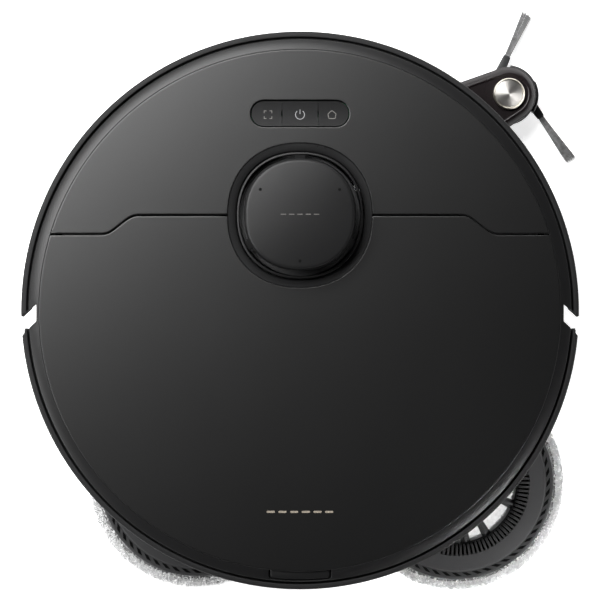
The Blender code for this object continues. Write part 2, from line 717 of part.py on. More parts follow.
# ---------------------------------------------------------------- dust box
def build_dust_box():
    low, high = Vector(DUST_BOX_LOW), Vector(DUST_BOX_HIGH)
    wall = Vector((DUST_WALL,) * 3)
    dust_box = box("dust_box", low, high, PLASTIC_SMOKE)
    top = Vector((high.x - DUST_WALL, high.y - DUST_WALL, high.z + 0.01))
    cut(dust_box, box("dust_space", low + wall, top), box("dust_inlet", DUCT_LOW, DUCT_HIGH))
    dust_filter = box(
        "dust_filter",
        (low.x + DUST_WALL + GAP, low.y + DUST_WALL + GAP, low.z + DUST_WALL + GAP),
        (low.x + DUST_WALL + 0.0125, high.y - DUST_WALL - GAP, 0.0640),
        FILTER_WHITE,
    )
    for index in range(7):
        y = low.y + 0.0055 + index * 0.0048
        groove = box(
            f"pleat_{index}", (low.x + 0.0085, y, low.z + 0.006), (low.x + 0.03, y + 0.0022, 0.060)
        )
        cut(dust_filter, groove)
    carried = joint_axis("dust_box_lift_axis", (0, 0, 0), [dust_box, dust_filter])
    lid = box(
        "dust_box_lid", (low.x, low.y, high.z + GAP), (high.x, high.y, high.z + 0.0038), PLASTIC_GREY, 0.0005
    )
    join(lid, box("lid_handle", (-0.016, -0.022, high.z + 0.003), (0.016, -0.0185, high.z + 0.0085)))
    hinge_y, hinge_z = DUST_LID_HINGE
    joint_axis("dust_lid_hinge_axis", (0, hinge_y, hinge_z), [lid], carried)


# ---------------------------------------------------------------- side-brush arm
def build_side_arm():
    outline = hull((BRUSH_HUB, 0.0180), (ARM_PIVOT, 0.0130), ((0.104, 0.112), 0.0121))
    arm = plate("side_arm", outline, ARM_BOTTOM, ARM_TOP, PLASTIC_BROWN)
    bevel = arm.modifiers.new("bevelled top", "BEVEL")
    bevel.width = 0.0016
    bevel.segments = 2
    bevel.limit_method = "ANGLE"
    bevel.angle_limit = math.radians(60)
    join(arm, cylinder("arm_shaft", 0.0050, (*ARM_PIVOT, 0.028), 0.018, sides=16))
    cut(arm, cylinder("brush_shaft_bore", 0.0034, (*BRUSH_HUB, 0.0), 0.0245, sides=16))
    cap_profile = [
        (0, ARM_TOP + 0.0030),
        (0.0070, ARM_TOP + 0.0028),
        (0.0088, ARM_TOP + 0.0032),
        (0.0098, ARM_TOP + 0.0026),
        (0.0101, ARM_TOP + 0.0016),
        (0.0101, ARM_TOP + GAP),
        (0, ARM_TOP + GAP),
    ]
    cap = turned("side_brush_cap", cap_profile, BRUSH_HUB, SILVER, sides=32)

    hub = cylinder("side_brush_hub", 0.0200, (*BRUSH_HUB, 0.0068), 0.0048, finish=PLASTIC_DARK, sides=40)
    join(hub, cylinder("hub_shaft", 0.0030, (*BRUSH_HUB, 0.0100), 0.0135, sides=16))
    tufts = []
    x, y = BRUSH_HUB
    for index, angle in enumerate(BRUSH_ANGLES, start=1):
        holder = box(f"tuft_holder_{index}", (0.012, -0.0032, -0.0014), (TUFT_ROOT - GAP, 0.0032, 0.0014))
        tuft = box(
            f"side_brush_tuft_{index}", (TUFT_ROOT, -0.0029, -0.0006), (TUFT_TIP, 0.0029, 0.0006), BRISTLE
        )
        for vertex in tuft.data.vertices:
            if vertex.co.x < 0:
                vertex.co.y *= 0.72
                vertex.co.z *= 2.0
        turn = Matrix.Rotation(math.radians(angle), 4, "Z")
        lean = Matrix.Rotation(math.radians(TUFT_LEAN), 4, "Y")
        for piece in (holder, tuft):
            piece.data.transform(turn @ lean @ Matrix.Translation(piece.location))
            piece.location = (x, y, 0.0092)
        join(hub, holder)
        tufts.append(tuft)
    swing = joint_axis("side_arm_axis", (*ARM_PIVOT, 0), [arm, cap])
    joint_axis("side_brush_axis", (x, y, 0), [hub] + tufts, swing)


# ---------------------------------------------------------------- main roller
def build_roller():
    """A rubber roller whose fins twist from its middle towards both ends."""
    pitch = 360 / ROLLER_FINS
    star = []
    for fin in range(ROLLER_FINS):
        steps = ((-11, ROLLER_CORE), (-3, ROLLER_RADIUS), (3, ROLLER_RADIUS), (11, ROLLER_CORE))
        for offset, radius in steps:
            star += arc((0, 0), radius, fin * pitch + offset, fin * pitch + offset + 1, 2)[:1]
        star += arc((0, 0), ROLLER_CORE, fin * pitch + pitch / 2, fin * pitch + pitch, 2)[:1]
    steps = 8
    twist = 55
    bm = bmesh.new()
    rows = []
    for step in range(steps + 1):
        along = -1 + 2 * step / steps
        turn = Matrix.Rotation(math.radians(twist * abs(along)), 2)
        row = [turn @ Vector(point) for point in star]
        rows.append([bm.verts.new((along * ROLLER_HALF, p.x, p.y)) for p in row])
    count = len(star)
    for first, second in zip(rows, rows[1:]):
        for i in range(count):
            j = (i + 1) % count
            bm.faces.new((first[i], first[j], second[j], second[i]))
    bm.faces.new(rows[0])
    bm.faces.new(rows[-1])
    bmesh.ops.recalc_face_normals(bm, faces=bm.faces)
    roller = add_object("main_roller", mesh_from(bm, "main_roller"), (0, ROLLER_Y, ROLLER_Z), RUBBER_GREY)
    shaft = cylinder("roller_shaft", 0.004, (-0.0904, ROLLER_Y, ROLLER_Z), 0.1808, "X", sides=16)
    join(roller, shaft)
    joint_axis("roller_axis", (0, ROLLER_Y, ROLLER_Z), [roller])

    guard = box("roller_guard", (-0.0960, 0.0015, 0.0100), (0.0960, 0.0605, 0.0120), PLASTIC_GREY)
    cut(guard, box("guard_opening", (-0.0880, 0.0065, 0.0), (0.0880, 0.0555, 0.02)))


# ---------------------------------------------------------------- drive wheels
def build_wheel(side):
    name = "right" if side > 0 else "left"
    pivot_y, pivot_z = SUSPENSION_PIVOT
    half = WHEEL_WIDTH / 2
    centre = (side * WHEEL_X, 0, WHEEL_RADIUS)

    def along_x(radius, low, high, label, finish=None, sides=32, place=(0, WHEEL_RADIUS)):
        """A round bar along X between two distances from the centre plane."""
        start = min(side * low, side * high)
        return cylinder(label, radius, (start, *place), high - low, "X", finish, sides)

    tyre = along_x(WHEEL_RADIUS - 0.0006, WHEEL_X - half, WHEEL_X + half, f"{name}_tyre", RUBBER, 40)
    tread = along_x(WHEEL_RADIUS, WHEEL_X - half + 0.002, WHEEL_X + half - 0.002, f"{name}_tread", sides=40)
    join(tyre, tread)
    cut(tyre, along_x(0.0295, WHEEL_X - 0.02, WHEEL_X + 0.02, f"{name}_tyre_hole", sides=40))

    reach = half - 0.001
    hub = along_x(0.0291, WHEEL_X - reach, WHEEL_X + reach, f"{name}_wheel_hub", PLASTIC_DARK, 40)
    face = WHEEL_X + half - 0.001
    cut(hub, along_x(0.0265, face - 0.003, face + 0.01, f"{name}_hub_dish", sides=40))
    join(hub, along_x(0.0070, face - 0.004, face - 0.0004, f"{name}_hub_boss", sides=20))
    join(hub, along_x(0.0040, WHEEL_ARM_X[0] + 0.002, WHEEL_X, f"{name}_axle", sides=16))

    arm_outline = hull(((0, WHEEL_RADIUS), 0.0140), ((pivot_y, pivot_z), 0.0080), count=20)
    xs = sorted(side * x for x in WHEEL_ARM_X)
    arm = plate(f"{name}_wheel_arm", arm_outline, xs[0], xs[1], PLASTIC_GREY, "X")
    pin_place = (pivot_y, pivot_z)
    join(arm, along_x(0.0030, 0.1012, 0.1200, f"{name}_pivot_pin", sides=16, place=pin_place))
    cut(arm, along_x(0.0043, 0.0, 0.2, f"{name}_axle_bore", sides=16))

    coil = bpy.data.curves.new(f"{name}_wheel_spring", "CURVE")
    coil.dimensions = "3D"
    coil.bevel_depth = 0.0008
    coil.bevel_resolution = 0
    coil.use_fill_caps = True
    turns, per_turn, low, high, radius = 4, 8, 0.0509, 0.0710, 0.0042
    spline = coil.splines.new("POLY")
    spline.points.add(turns * per_turn)
    for index, point in enumerate(spline.points):
        angle = 2 * math.pi * index / per_turn
        height = low + (high - low) * index / (turns * per_turn)
        point.co = (radius * math.cos(angle), radius * math.sin(angle), height, 1)
    middle_x = side * sum(WHEEL_ARM_X) / 2
    add_object(f"{name}_wheel_spring", coil, (middle_x, 0.014, 0), STEEL)

    suspension = joint_axis(f"{name}_suspension_axis", (side * WHEEL_X, pivot_y, pivot_z), [arm])
    joint_axis(f"{name}_wheel_axis", centre, [tyre, hub], suspension)


# ---------------------------------------------------------------- caster
def build_caster():
    x, y = CASTER
    axle_y, axle_z = y - CASTER_TRAIL, CASTER_RADIUS
    fork = turned(
        "caster_fork",
        [(0, 0.0425), (0.0040, 0.0425), (0.0040, 0.0335), (0.0190, 0.0335), (0.0205, 0.0320),
         (0.0205, 0.0125), (0.0190, 0.0110), (0, 0.0110)],
        CASTER,
        PLASTIC_DARK,
        sides=24,
    )
    cut(fork, box("fork_slot", (-0.0073, y - 0.03, 0.0), (0.0073, y + 0.0125, 0.0312)))
    cut(fork, cylinder("fork_axle_hole", 0.0019, (-0.03, axle_y, axle_z), 0.06, "X", sides=16))
    wheel = cylinder("caster_wheel", CASTER_RADIUS, (-0.0065, axle_y, axle_z), 0.013, "X", RUBBER_GREY, 40)
    cut(wheel, cylinder("caster_bore", 0.0019, (-0.02, axle_y, axle_z), 0.04, "X", sides=16))
    axle = cylinder("caster_axle", 0.0015, (-0.0170, axle_y, axle_z), 0.034, "X", STEEL, 16)
    swivel = joint_axis("caster_swivel_axis", (x, y, 0), [fork, axle])
    joint_axis("caster_roll_axis", (x, axle_y, axle_z), [wheel], swivel)


# ---------------------------------------------------------------- mops
def wedge(centre, start, end, inner, outer):
    """Outline of a ring sector about a centre, from inner to outer radius."""
    far = arc(centre, outer, start, end, 4)
    near = arc(centre, inner, end, start, 3)
    return far + near


def build_mop(name, centre):
    """One mop: pad, windowed holder, spindle and the lift sleeve round it."""
    pad = turned(
        f"mop_pad_{name}",
        [(0, 0.0070), (0.0630, 0.0070), (MOP_RADIUS, 0.0045), (MOP_RADIUS, 0.0020), (0.0635, 0.0),
         (0, 0.0)],
        centre,
        FABRIC_WHITE,
        sides=40,
    )
    holder = turned(
        f"mop_holder_{name}",
        [(0, 0.0190), (0.0170, 0.0190), (0.0180, 0.0110), (0.0385, 0.0110), (0.0395, 0.0165),
         (0.0465, 0.0163), (0.0600, 0.0108), (0.0638, 0.0097), (0.0636, HOLDER_BOTTOM),
         (0, HOLDER_BOTTOM)],
        centre,
        PLASTIC_DARK,
        sides=48,
    )
    windows = 6
    for index in range(windows):
        start = index * 360 / windows
        outline = wedge(centre, start, start + 47, 0.0205, 0.0375)
        cut(holder, plate(f"{name}_window_{index}", outline, 0.0, 0.015))
    cut(holder, cylinder(f"{name}_spindle_socket", 0.0059, (*centre, 0.0120), 0.02, sides=16))
    spindle = cylinder(f"mop_spindle_{name}", 0.0055, (*centre, 0.0123), 0.0237, finish=STEEL, sides=16)
    sleeve = turned(
        f"mop_sleeve_{name}",
        [(0.0130, 0.0340), (0.0130, 0.0240), (0.0115, 0.0220), (0.0061, 0.0220), (0.0061, 0.0340)],
        centre,
        PLASTIC_GREY,
        sides=20,
    )
    return pad, holder, spindle, sleeve


def gearbox(name, outline, centre, finish=PLASTIC_DARK):
    low, high = GEARBOX_Z
    housing = plate(name, outline, low, high, finish)
    bore = cylinder(name + "_bore", 0.0136, (*centre, 0.02), 0.0275, sides=32)
    return housing, bore


def build_mops():
    pad, holder, spindle, sleeve = build_mop("left", MOP_LEFT)
    outline = hull((MOP_LEFT, 0.0175), ((MOP_LEFT[0] + 0.006, -0.064), 0.014))
    housing, bore = gearbox("mop_gearbox_left", outline, MOP_LEFT)
    cut(housing, bore)
    lift = joint_axis("mop_lift_left_axis", (*MOP_LEFT, 0), [sleeve])
    joint_axis("mop_spin_left_axis", (*MOP_LEFT, 0), [pad, holder, spindle], lift)

    pad, holder, spindle, sleeve = build_mop("right", MOP_RIGHT)
    outline = hull((MOP_RIGHT, 0.0175), (MOP_ARM_PIVOT, 0.0145))
    arm, bore = gearbox("mop_arm_right", outline, MOP_RIGHT)
    join(arm, cylinder("mop_arm_shaft", 0.0060, (*MOP_ARM_PIVOT, 0.0480), 0.0090, sides=20))
    cut(arm, bore)
    swing = joint_axis("mop_arm_axis", (*MOP_ARM_PIVOT, 0), [arm])
    lift = joint_axis("mop_lift_right_axis", (*MOP_RIGHT, 0), [sleeve], swing)
    joint_axis("mop_spin_right_axis", (*MOP_RIGHT, 0), [pad, holder, spindle], lift)


# ---------------------------------------------------------------- cliff sensors
def cliff_places():
    return (-0.124, 0.066), (-0.040, 0.148), (0.035, 0.148)


def build_cliff_sensors():
    for name, (x, y) in zip(("side", "left", "right"), cliff_places()):
        low, high = (x - 0.0092, y - 0.0042, CHASSIS_BOTTOM), (x + 0.0092, y + 0.0042, 0.0142)
        box(f"cliff_sensor_{name}", low, high, PLASTIC_GLOSS)


# ---------------------------------------------------------------- assembly
def main():
    build_chassis()
    build_top()
    build_ring()
    build_rear_shell()
    build_bumper()
    build_turret()
    build_buttons()
    build_electronics()
    build_dust_box()
    build_side_arm()
    build_roller()
    build_wheel(1)
    build_wheel(-1)
    build_caster()
    build_mops()
    build_cliff_sensors()


main()
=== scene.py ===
"""The looks of a round robot vacuum: smooth moulded shells, bristles, mop pads and studio light.

Lengths are metres, +Z is up and +Y is the robot's front. Plan positions are measured from the
middle of the round body, DISC, and are moved to the frame's place when a mesh is finished.
"""

import math
import random

import bmesh
import bpy
import numpy as np
from mathutils import Matrix, Vector
from mathutils.geometry import convex_hull_2d, delaunay_2d_cdt


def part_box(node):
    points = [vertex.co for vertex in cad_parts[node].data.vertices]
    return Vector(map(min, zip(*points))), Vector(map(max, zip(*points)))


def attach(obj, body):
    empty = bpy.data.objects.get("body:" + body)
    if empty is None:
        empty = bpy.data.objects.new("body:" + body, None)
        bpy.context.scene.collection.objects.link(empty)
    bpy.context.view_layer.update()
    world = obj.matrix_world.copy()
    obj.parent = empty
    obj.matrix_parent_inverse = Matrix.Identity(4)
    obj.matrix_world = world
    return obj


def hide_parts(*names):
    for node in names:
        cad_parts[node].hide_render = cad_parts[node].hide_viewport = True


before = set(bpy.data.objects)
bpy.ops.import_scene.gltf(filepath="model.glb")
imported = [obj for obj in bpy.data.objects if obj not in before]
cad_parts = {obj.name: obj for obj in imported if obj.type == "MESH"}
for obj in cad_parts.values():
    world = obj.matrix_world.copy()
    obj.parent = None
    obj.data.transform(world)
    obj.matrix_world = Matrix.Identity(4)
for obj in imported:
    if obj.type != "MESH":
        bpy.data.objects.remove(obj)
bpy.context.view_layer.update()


def middle(node):
    low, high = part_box(node)
    return (low + high) / 2


def top_of(node):
    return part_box(node)[1].z


def bottom_of(node):
    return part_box(node)[0].z


def in_disc(node):
    """A node's middle, measured from the disc's middle."""
    place = middle(node)
    return place.x - DISC.x, place.y - DISC.y


DISC = middle("rim_ring")

# The body's rings and top plates: plan radii and heights
BODY_RADIUS = 0.175
LIP_INNER = 0.1716
GROOVE_INNER = 0.1701
RING_OUTER = 0.1698
RING_INNER = 0.1633
RING_HIGH = 0.0803
RING_DROP = 0.0020
RING_BOTTOM = 0.0768
DECK_RADIUS = 0.1632
DECK_TOP = top_of("rear_lid")
DECK_CROWN = 0.0016
DECK_THICKNESS = 0.0025

# Seam between deck and lid
SEAM_INNER_Y = 0.0595
SEAM_OUTER_Y = 0.0476
SEAM_STEP = (0.1015, 0.1235)
SEAM_GAP = 0.0011

# Slanted side slots and the notch at the tail
SLOT_X = 0.165
SLOT_RAKE = 0.65
SLOT_FRONT = (0.0038, 0.80)
SLOT_REAR = (-0.0067, 0.91)
NOTCH_HALF_WIDTH = 0.0197
NOTCH_OUTER = 0.1692
TAB_GAP = 0.0010

TURRET = in_disc("turret_cover")
SQUARENESS = 2.2
WELL_RADIUS = 0.0450
HAIRLINE = 0.0001
PILLAR_ANGLES = (90, 210, 330)
PANEL = (0.0, 0.123)
PANEL_SIZE = (0.0607, 0.0156)
BUTTON_SPLIT = 0.0113
ICON_SPACING = 0.020

BRUSH_HUB = in_disc("side_brush_cap")
MOP_LEFT = in_disc("mop_sleeve_left")
MOP_RIGHT = in_disc("mop_sleeve_right")


# ---------------------------------------------------------------- finishes
def put(tree, kind, inputs=None, **settings):
    """Adds a node. Each input gets a value, or a link from a socket."""
    made = tree.nodes.new(kind)
    for name, value in settings.items():
        setattr(made, name, value)
    for name, value in (inputs or {}).items():
        if isinstance(value, bpy.types.NodeSocket):
            tree.links.new(value, made.inputs[name])
        else:
            made.inputs[name].default_value = value
    return made


class Finish:
    """A node material on the Principled shader. Patterns are in metres, on the object's own axes."""

    def __init__(self, name, colour, roughness, metallic=0.0, **sockets):
        self.material = bpy.data.materials.new(name)
        self.material.use_nodes = True
        self.tree = self.material.node_tree
        self.shader = self.tree.nodes["Principled BSDF"]
        self.colour = colour
        self.shader.inputs["Base Color"].default_value = (*colour, 1.0)
        self.shader.inputs["Roughness"].default_value = roughness
        self.shader.inputs["Metallic"].default_value = metallic
        for socket, value in sockets.items():
            self.shader.inputs[socket.replace("_", " ")].default_value = value
        self.place = self.put("ShaderNodeTexCoord").outputs["Object"]
        self.normal = None

    def put(self, kind, inputs=None, **settings):
        return put(self.tree, kind, inputs, **settings)

    def noise(self, scale, detail=3.0, stretch=None):
        place = self.place
        if stretch:
            place = self.put("ShaderNodeMapping", {"Vector": place, "Scale": stretch}).outputs[0]
        inputs = {"Vector": place, "Scale": scale, "Detail": detail, "Roughness": 0.55}
        return self.put("ShaderNodeTexNoise", inputs).outputs["Fac"]

    def ramp(self, factor, low, high, start=0.35, end=0.65):
        """Goes from the low colour to the high one as the factor goes from start to end."""
        made = self.put("ShaderNodeValToRGB", {"Fac": factor})
        first, last = made.color_ramp.elements
        first.position, last.position = start, end
        first.color, last.color = (*low, 1.0), (*high, 1.0)
        return made.outputs["Color"]

    def tint(self, scale, spread, detail=4.0, stretch=None):
        """Uneven colour: darker and lighter patches by a share of the base colour."""
        low = [c * (1 - spread) for c in self.colour]
        high = [c * (1 + spread) for c in self.colour]
        colour = self.ramp(self.noise(scale, detail, stretch), low, high)
        self.tree.links.new(colour, self.shader.inputs["Base Color"])
        return self

    def gloss(self, scale, low, high, stretch=None):
        """Uneven roughness between two values, as from handling and moulding."""
        spread = {"From Min": 0.3, "From Max": 0.7, "To Min": low, "To Max": high}
        made = self.put("ShaderNodeMapRange", {"Value": self.noise(scale, 3.0, stretch), **spread})
        self.tree.links.new(made.outputs["Result"], self.shader.inputs["Roughness"])
        return self

    def relief(self, height, depth):
        inputs = {"Height": height, "Distance": depth, "Strength": 1.0}
        if self.normal:
            inputs["Normal"] = self.normal
        self.normal = self.put("ShaderNodeBump", inputs).outputs["Normal"]
        self.tree.links.new(self.normal, self.shader.inputs["Normal"])
        return self

    def grain(self, scale, depth, detail=2.0, stretch=None):
        return self.relief(self.noise(scale, detail, stretch), depth)

    def waves(self, scale, depth, bands="BANDS", direction="X", distortion=0.0):
        inputs = {"Vector": self.place, "Scale": scale, "Distortion": distortion}
        settings = {"wave_type": bands}
        settings["bands_direction" if bands == "BANDS" else "rings_direction"] = direction
        made = self.put("ShaderNodeTexWave", inputs, **settings)
        return self.relief(made.outputs["Fac"], depth)


def moulded(name, colour, rough, grain=2600.0, depth=0.000012, sheen=0.03, **sockets):
    """Moulded plastic: fine spark-eroded grain, faint flow marks and uneven sheen."""
    finish = Finish(name, colour, rough, **sockets)
    finish.tint(18.0, 0.10).gloss(30.0, rough - sheen, rough + sheen)
    return finish.grain(grain, depth).material


DECK_BLACK = moulded("deck_black", (0.0016, 0.0016, 0.00165), 0.345, depth=0.000010, sheen=0.002)
# The well's dish is coloured far lighter than the deck's black: painted light, standing in for the light that
# the turret's shadow takes from it.
DISH_PAINTED_LIGHT = moulded("dish_black_painted_light", (0.0180, 0.0180, 0.0184), 0.30, depth=0.000010)
RING_BLACK = moulded(
    "ring_black", (0.0060, 0.0060, 0.0062), 0.36, grain=1800.0, sheen=0.006, Specular_IOR_Level=0.28
)
SHELL_BLACK = moulded("shell_black", (0.0090, 0.0090, 0.0093), 0.58, Specular_IOR_Level=0.20)
CHASSIS_BLACK = moulded("chassis_black", (0.0140, 0.0140, 0.0148), 0.55, grain=1400.0, depth=0.00003)
TURRET_BLACK = moulded(
    "turret_black", (0.0045, 0.0045, 0.0047), 0.42, depth=0.000010, sheen=0.004, Specular_IOR_Level=0.27
)
BUTTON_BLACK = moulded("button_black", (0.0045, 0.0045, 0.0048), 0.42, sheen=0.006, Specular_IOR_Level=0.19)
HOLDER_BLACK = moulded("holder_black", (0.0130, 0.0132, 0.0140), 0.42)
HOLDER_GREY = moulded("holder_grey", (0.040, 0.040, 0.041), 0.55, Specular_IOR_Level=0.2)
ARM_BROWN = moulded("arm_brown_black", (0.0090, 0.0062, 0.0068), 0.28, depth=0.000008, Specular_IOR_Level=0.3)
GREY_PLASTIC = moulded("moulded_grey", (0.085, 0.087, 0.092), 0.48, grain=1400.0, depth=0.00002)
WINDOW_BLACK = Finish("infrared_window", (0.004, 0.0035, 0.004), 0.07, IOR=1.55).gloss(
    60.0, 0.05, 0.10
).material
LIDAR_DARK = Finish("lidar_gloss", (0.007, 0.007, 0.008), 0.16).gloss(80.0, 0.12, 0.22).material
SYMBOL_GREY = Finish("symbol_print", (0.30, 0.30, 0.31), 0.45).tint(900.0, 0.12).material
MARK_CHAMPAGNE = Finish("champagne_print", (0.27, 0.235, 0.19), 0.40, metallic=0.3).tint(700.0, 0.15).material
STEEL = Finish("plain_steel", (0.55, 0.55, 0.57), 0.28, metallic=1.0).tint(60.0, 0.08).gloss(
    200.0, 0.22, 0.36
).material
GOLD = Finish("contact_plating", (0.78, 0.60, 0.30), 0.24, metallic=1.0).tint(300.0, 0.08).gloss(
    500.0, 0.18, 0.34
).material
SYMBOL_DIM = Finish("symbol_print_dim", (0.15, 0.145, 0.135), 0.45).tint(900.0, 0.12).material
BRISTLE_GREY = Finish("bristle_grey", (0.19, 0.19, 0.19), 0.50).tint(400.0, 0.35).material
TYRE_BLACK = Finish("tyre_black", (0.020, 0.020, 0.021), 0.82).tint(90.0, 0.25).grain(
    1500.0, 0.00004
).material
ROLLER_GREY = Finish("roller_rubber_grey", (0.085, 0.087, 0.093), 0.62).tint(70.0, 0.12).grain(
    1800.0, 0.00002
).material
ACCENT_GREY = moulded("accent_grey", (0.23, 0.23, 0.24), 0.42, grain=1600.0)
SMOKE_PLASTIC = Finish("smoked_plastic", (0.035, 0.036, 0.040), 0.20, Coat_Weight=0.4).tint(30.0, 0.15).gloss(
    60.0, 0.14, 0.28
).material
SCREW_STEEL = Finish("screw_steel", (0.16, 0.16, 0.17), 0.34, metallic=1.0).tint(900.0, 0.2).material
# The cross on screw heads is drawn in this near-black: painted shade for its recess.
SCREW_RECESS_SHADE = Finish("screw_recess_painted_shade", (0.02, 0.02, 0.02), 0.60).tint(900.0, 0.2).material
LENS_CLEAR = Finish("sensor_lens", (0.05, 0.02, 0.03), 0.05, Coat_Weight=1.0).tint(700.0, 0.2).material
# Near-black with almost no gloss: painted shade, laid where holes, slots and gaps would show only their
# shaded insides.
PAINTED_HOLE_SHADE = Finish("painted_hole_shade", (0.002, 0.002, 0.002), 0.9, Specular_IOR_Level=0.1).tint(300.0, 0.2).material
FILTER_PAPER = Finish("filter_paper", (0.72, 0.70, 0.64), 0.95).tint(120.0, 0.08).grain(
    900.0, 0.0001
).material
BATTERY_BLUE = Finish("battery_wrap", (0.03, 0.09, 0.24), 0.34).tint(20.0, 0.08).grain(
    120.0, 0.00008
).material


def circuit_board():
    """Green solder resist with copper tracks that show through a little."""
    finish = Finish("circuit_board", (0.015, 0.105, 0.050), 0.38)
    sizes = {"Vector": finish.place, "Scale": 180.0, "Mortar Size": 0.05}
    boards = {"Color1": (0.012, 0.090, 0.042, 1), "Color2": (0.018, 0.125, 0.060, 1)}
    copper = {"Mortar": (0.05, 0.22, 0.10, 1)}
    tracks = finish.put("ShaderNodeTexBrick", {**sizes, **boards, **copper})
    finish.tree.links.new(tracks.outputs["Color"], finish.shader.inputs["Base Color"])
    return finish.relief(tracks.outputs["Fac"], 0.00005).material


BOARD_GREEN = circuit_board()


def turned_metal(name, colour, rough, scale):
    """Metal with the fine rings that a lathe leaves, drawn round the brush hub's axis."""
    finish = Finish(name, colour, rough, metallic=1.0, Anisotropic=0.75)
    centre = (BRUSH_HUB[0] + DISC.x, BRUSH_HUB[1] + DISC.y, 0.0)
    moved = finish.put("ShaderNodeVectorMath", {0: finish.place, 1: centre}, operation="SUBTRACT")
    finish.place = moved.outputs["Vector"]
    finish.waves(scale, 0.000006, "RINGS", "Z", 0.4)
    flat = finish.put("ShaderNodeVectorMath", {0: finish.place, 1: (1.0, 1.0, 0.0)}, operation="MULTIPLY")
    outwards = finish.put("ShaderNodeVectorMath", {0: flat.outputs["Vector"]}, operation="NORMALIZE")
    finish.tree.links.new(outwards.outputs["Vector"], finish.shader.inputs["Tangent"])
    return finish.tint(300.0, 0.06).material


TURNED_SILVER = turned_metal("turned_silver", (0.64, 0.62, 0.59), 0.34, 900.0)
CHAMPAGNE_METAL = turned_metal("champagne_rim", (0.80, 0.76, 0.66), 0.30, 500.0)


def microfibre(name, colour, depth):
    """Looped fibre in any brightness: clumps of loops under finer strands, with a soft sheen."""
    finish = Finish(name, colour, 0.95, Sheen_Weight=0.35, Sheen_Roughness=0.5)
    finish.tint(420.0, 0.10, 5.0)
    cells = finish.put("ShaderNodeTexVoronoi", {"Vector": finish.place, "Scale": 650.0})
    finish.relief(cells.outputs["Distance"], depth)
    return finish.grain(2600.0, depth * 0.4).material


PAD_WHITE = microfibre("pad_in_windows", (0.90, 0.90, 0.90), 0.0003)
PAD_BACK = microfibre("pad_back", (0.42, 0.42, 0.43), 0.0006)
# Dark grey for the pad's edge band: painted shade that shows between the loops and under the holder's rim.
PAD_EDGE_SHADE = microfibre("pad_edge_painted_shade", (0.16, 0.16, 0.16), 0.0006)
PAD_LOOPS = microfibre("pad_loops", (0.80, 0.80, 0.80), 0.0002)


# ---------------------------------------------------------------- meshes
def arc(centre, radius, start, end, count, power=2.0):
    """Points round a circle, or round a superellipse of that power."""
    found = []
    for angle in np.radians(np.linspace(start, end, count)):
        c, s = math.cos(angle), math.sin(angle)
        reach = radius * (abs(c) ** power + abs(s) ** power) ** (-1 / power)
        found.append((centre[0] + reach * c, centre[1] + reach * s))
    return found


def ring(centre, radius, count=120, power=2.0, clockwise=False):
    found = arc(centre, radius, 0, 360, count + 1, power)[:-1]
    return found[::-1] if clockwise else found


def box_outline(x0, y0, x1, y1, radius=0.0):
    """A rectangle, anticlockwise, its corners rounded where a radius is given."""
    corners = [(x0, y0), (x1, y0), (x1, y1), (x0, y1)]
    return softened([(x, y, radius) for x, y in corners]) if radius else corners


def turned_to(degrees, place=(0, 0, 0), axis="Z"):
    """A turn about an axis through the origin, then a move to a place."""
    return Matrix.Translation(place) @ Matrix.Rotation(math.radians(degrees), 4, axis)


def softened(corners, closed=True, steps=5):
    """A line whose corners (x, y, radius) are turned into arcs. A corner without a radius stays sharp."""
    found, count = [], len(corners)
    for i, corner in enumerate(corners):
        here = Vector(corner[:2])
        radius = corner[2] if len(corner) > 2 else 0.0
        if radius <= 0 or (not closed and i in (0, count - 1)):
            found.append(tuple(here))
            continue
        before = Vector(corners[i - 1][:2]) - here
        after = Vector(corners[(i + 1) % count][:2]) - here
        turn = math.pi - before.angle(after)
        if turn < 0.02:
            found.append(tuple(here))
            continue
        back = min(radius * math.tan(turn / 2), 0.49 * before.length, 0.49 * after.length)
        real = back / math.tan(turn / 2)
        middle_way = (before.normalized() + after.normalized()).normalized()
        centre = here + middle_way * math.hypot(real, back)
        first = here + before.normalized() * back - centre
        side = 1 if before.x * after.y - before.y * after.x < 0 else -1
        for step in range(steps + 1):
            spin = Matrix.Rotation(side * turn * step / steps, 2)
            found.append(tuple(centre + spin @ first))
    return found


def inset(loop, distance):
    """The loop moved to its left: inwards when it runs anticlockwise."""
    points = np.array(loop, float)
    ahead = np.roll(points, -1, 0) - points
    ahead /= np.linalg.norm(ahead, axis=1)[:, None]
    left = np.stack([-ahead[:, 1], ahead[:, 0]], 1)
    before = np.roll(left, 1, 0)
    share = 1 + (left * before).sum(1)
    return points + distance * (left + before) / np.maximum(share, 0.3)[:, None]


def inside(points, loops):
    """Which points lie inside the outlines, holes left out."""
    hit = np.zeros(len(points), int)
    for loop in loops:
        a, b = np.array(loop), np.roll(loop, -1, 0)
        crosses = (a[:, 1][None] > points[:, 1][:, None]) != (b[:, 1][None] > points[:, 1][:, None])
        rise = np.where(b[:, 1] == a[:, 1], 1e-12, b[:, 1] - a[:, 1])
        x = a[:, 0] + (points[:, 1][:, None] - a[:, 1]) * (b[:, 0] - a[:, 0]) / rise
        hit += (crosses & (points[:, 0][:, None] < x)).sum(1)
    return hit % 2 == 1


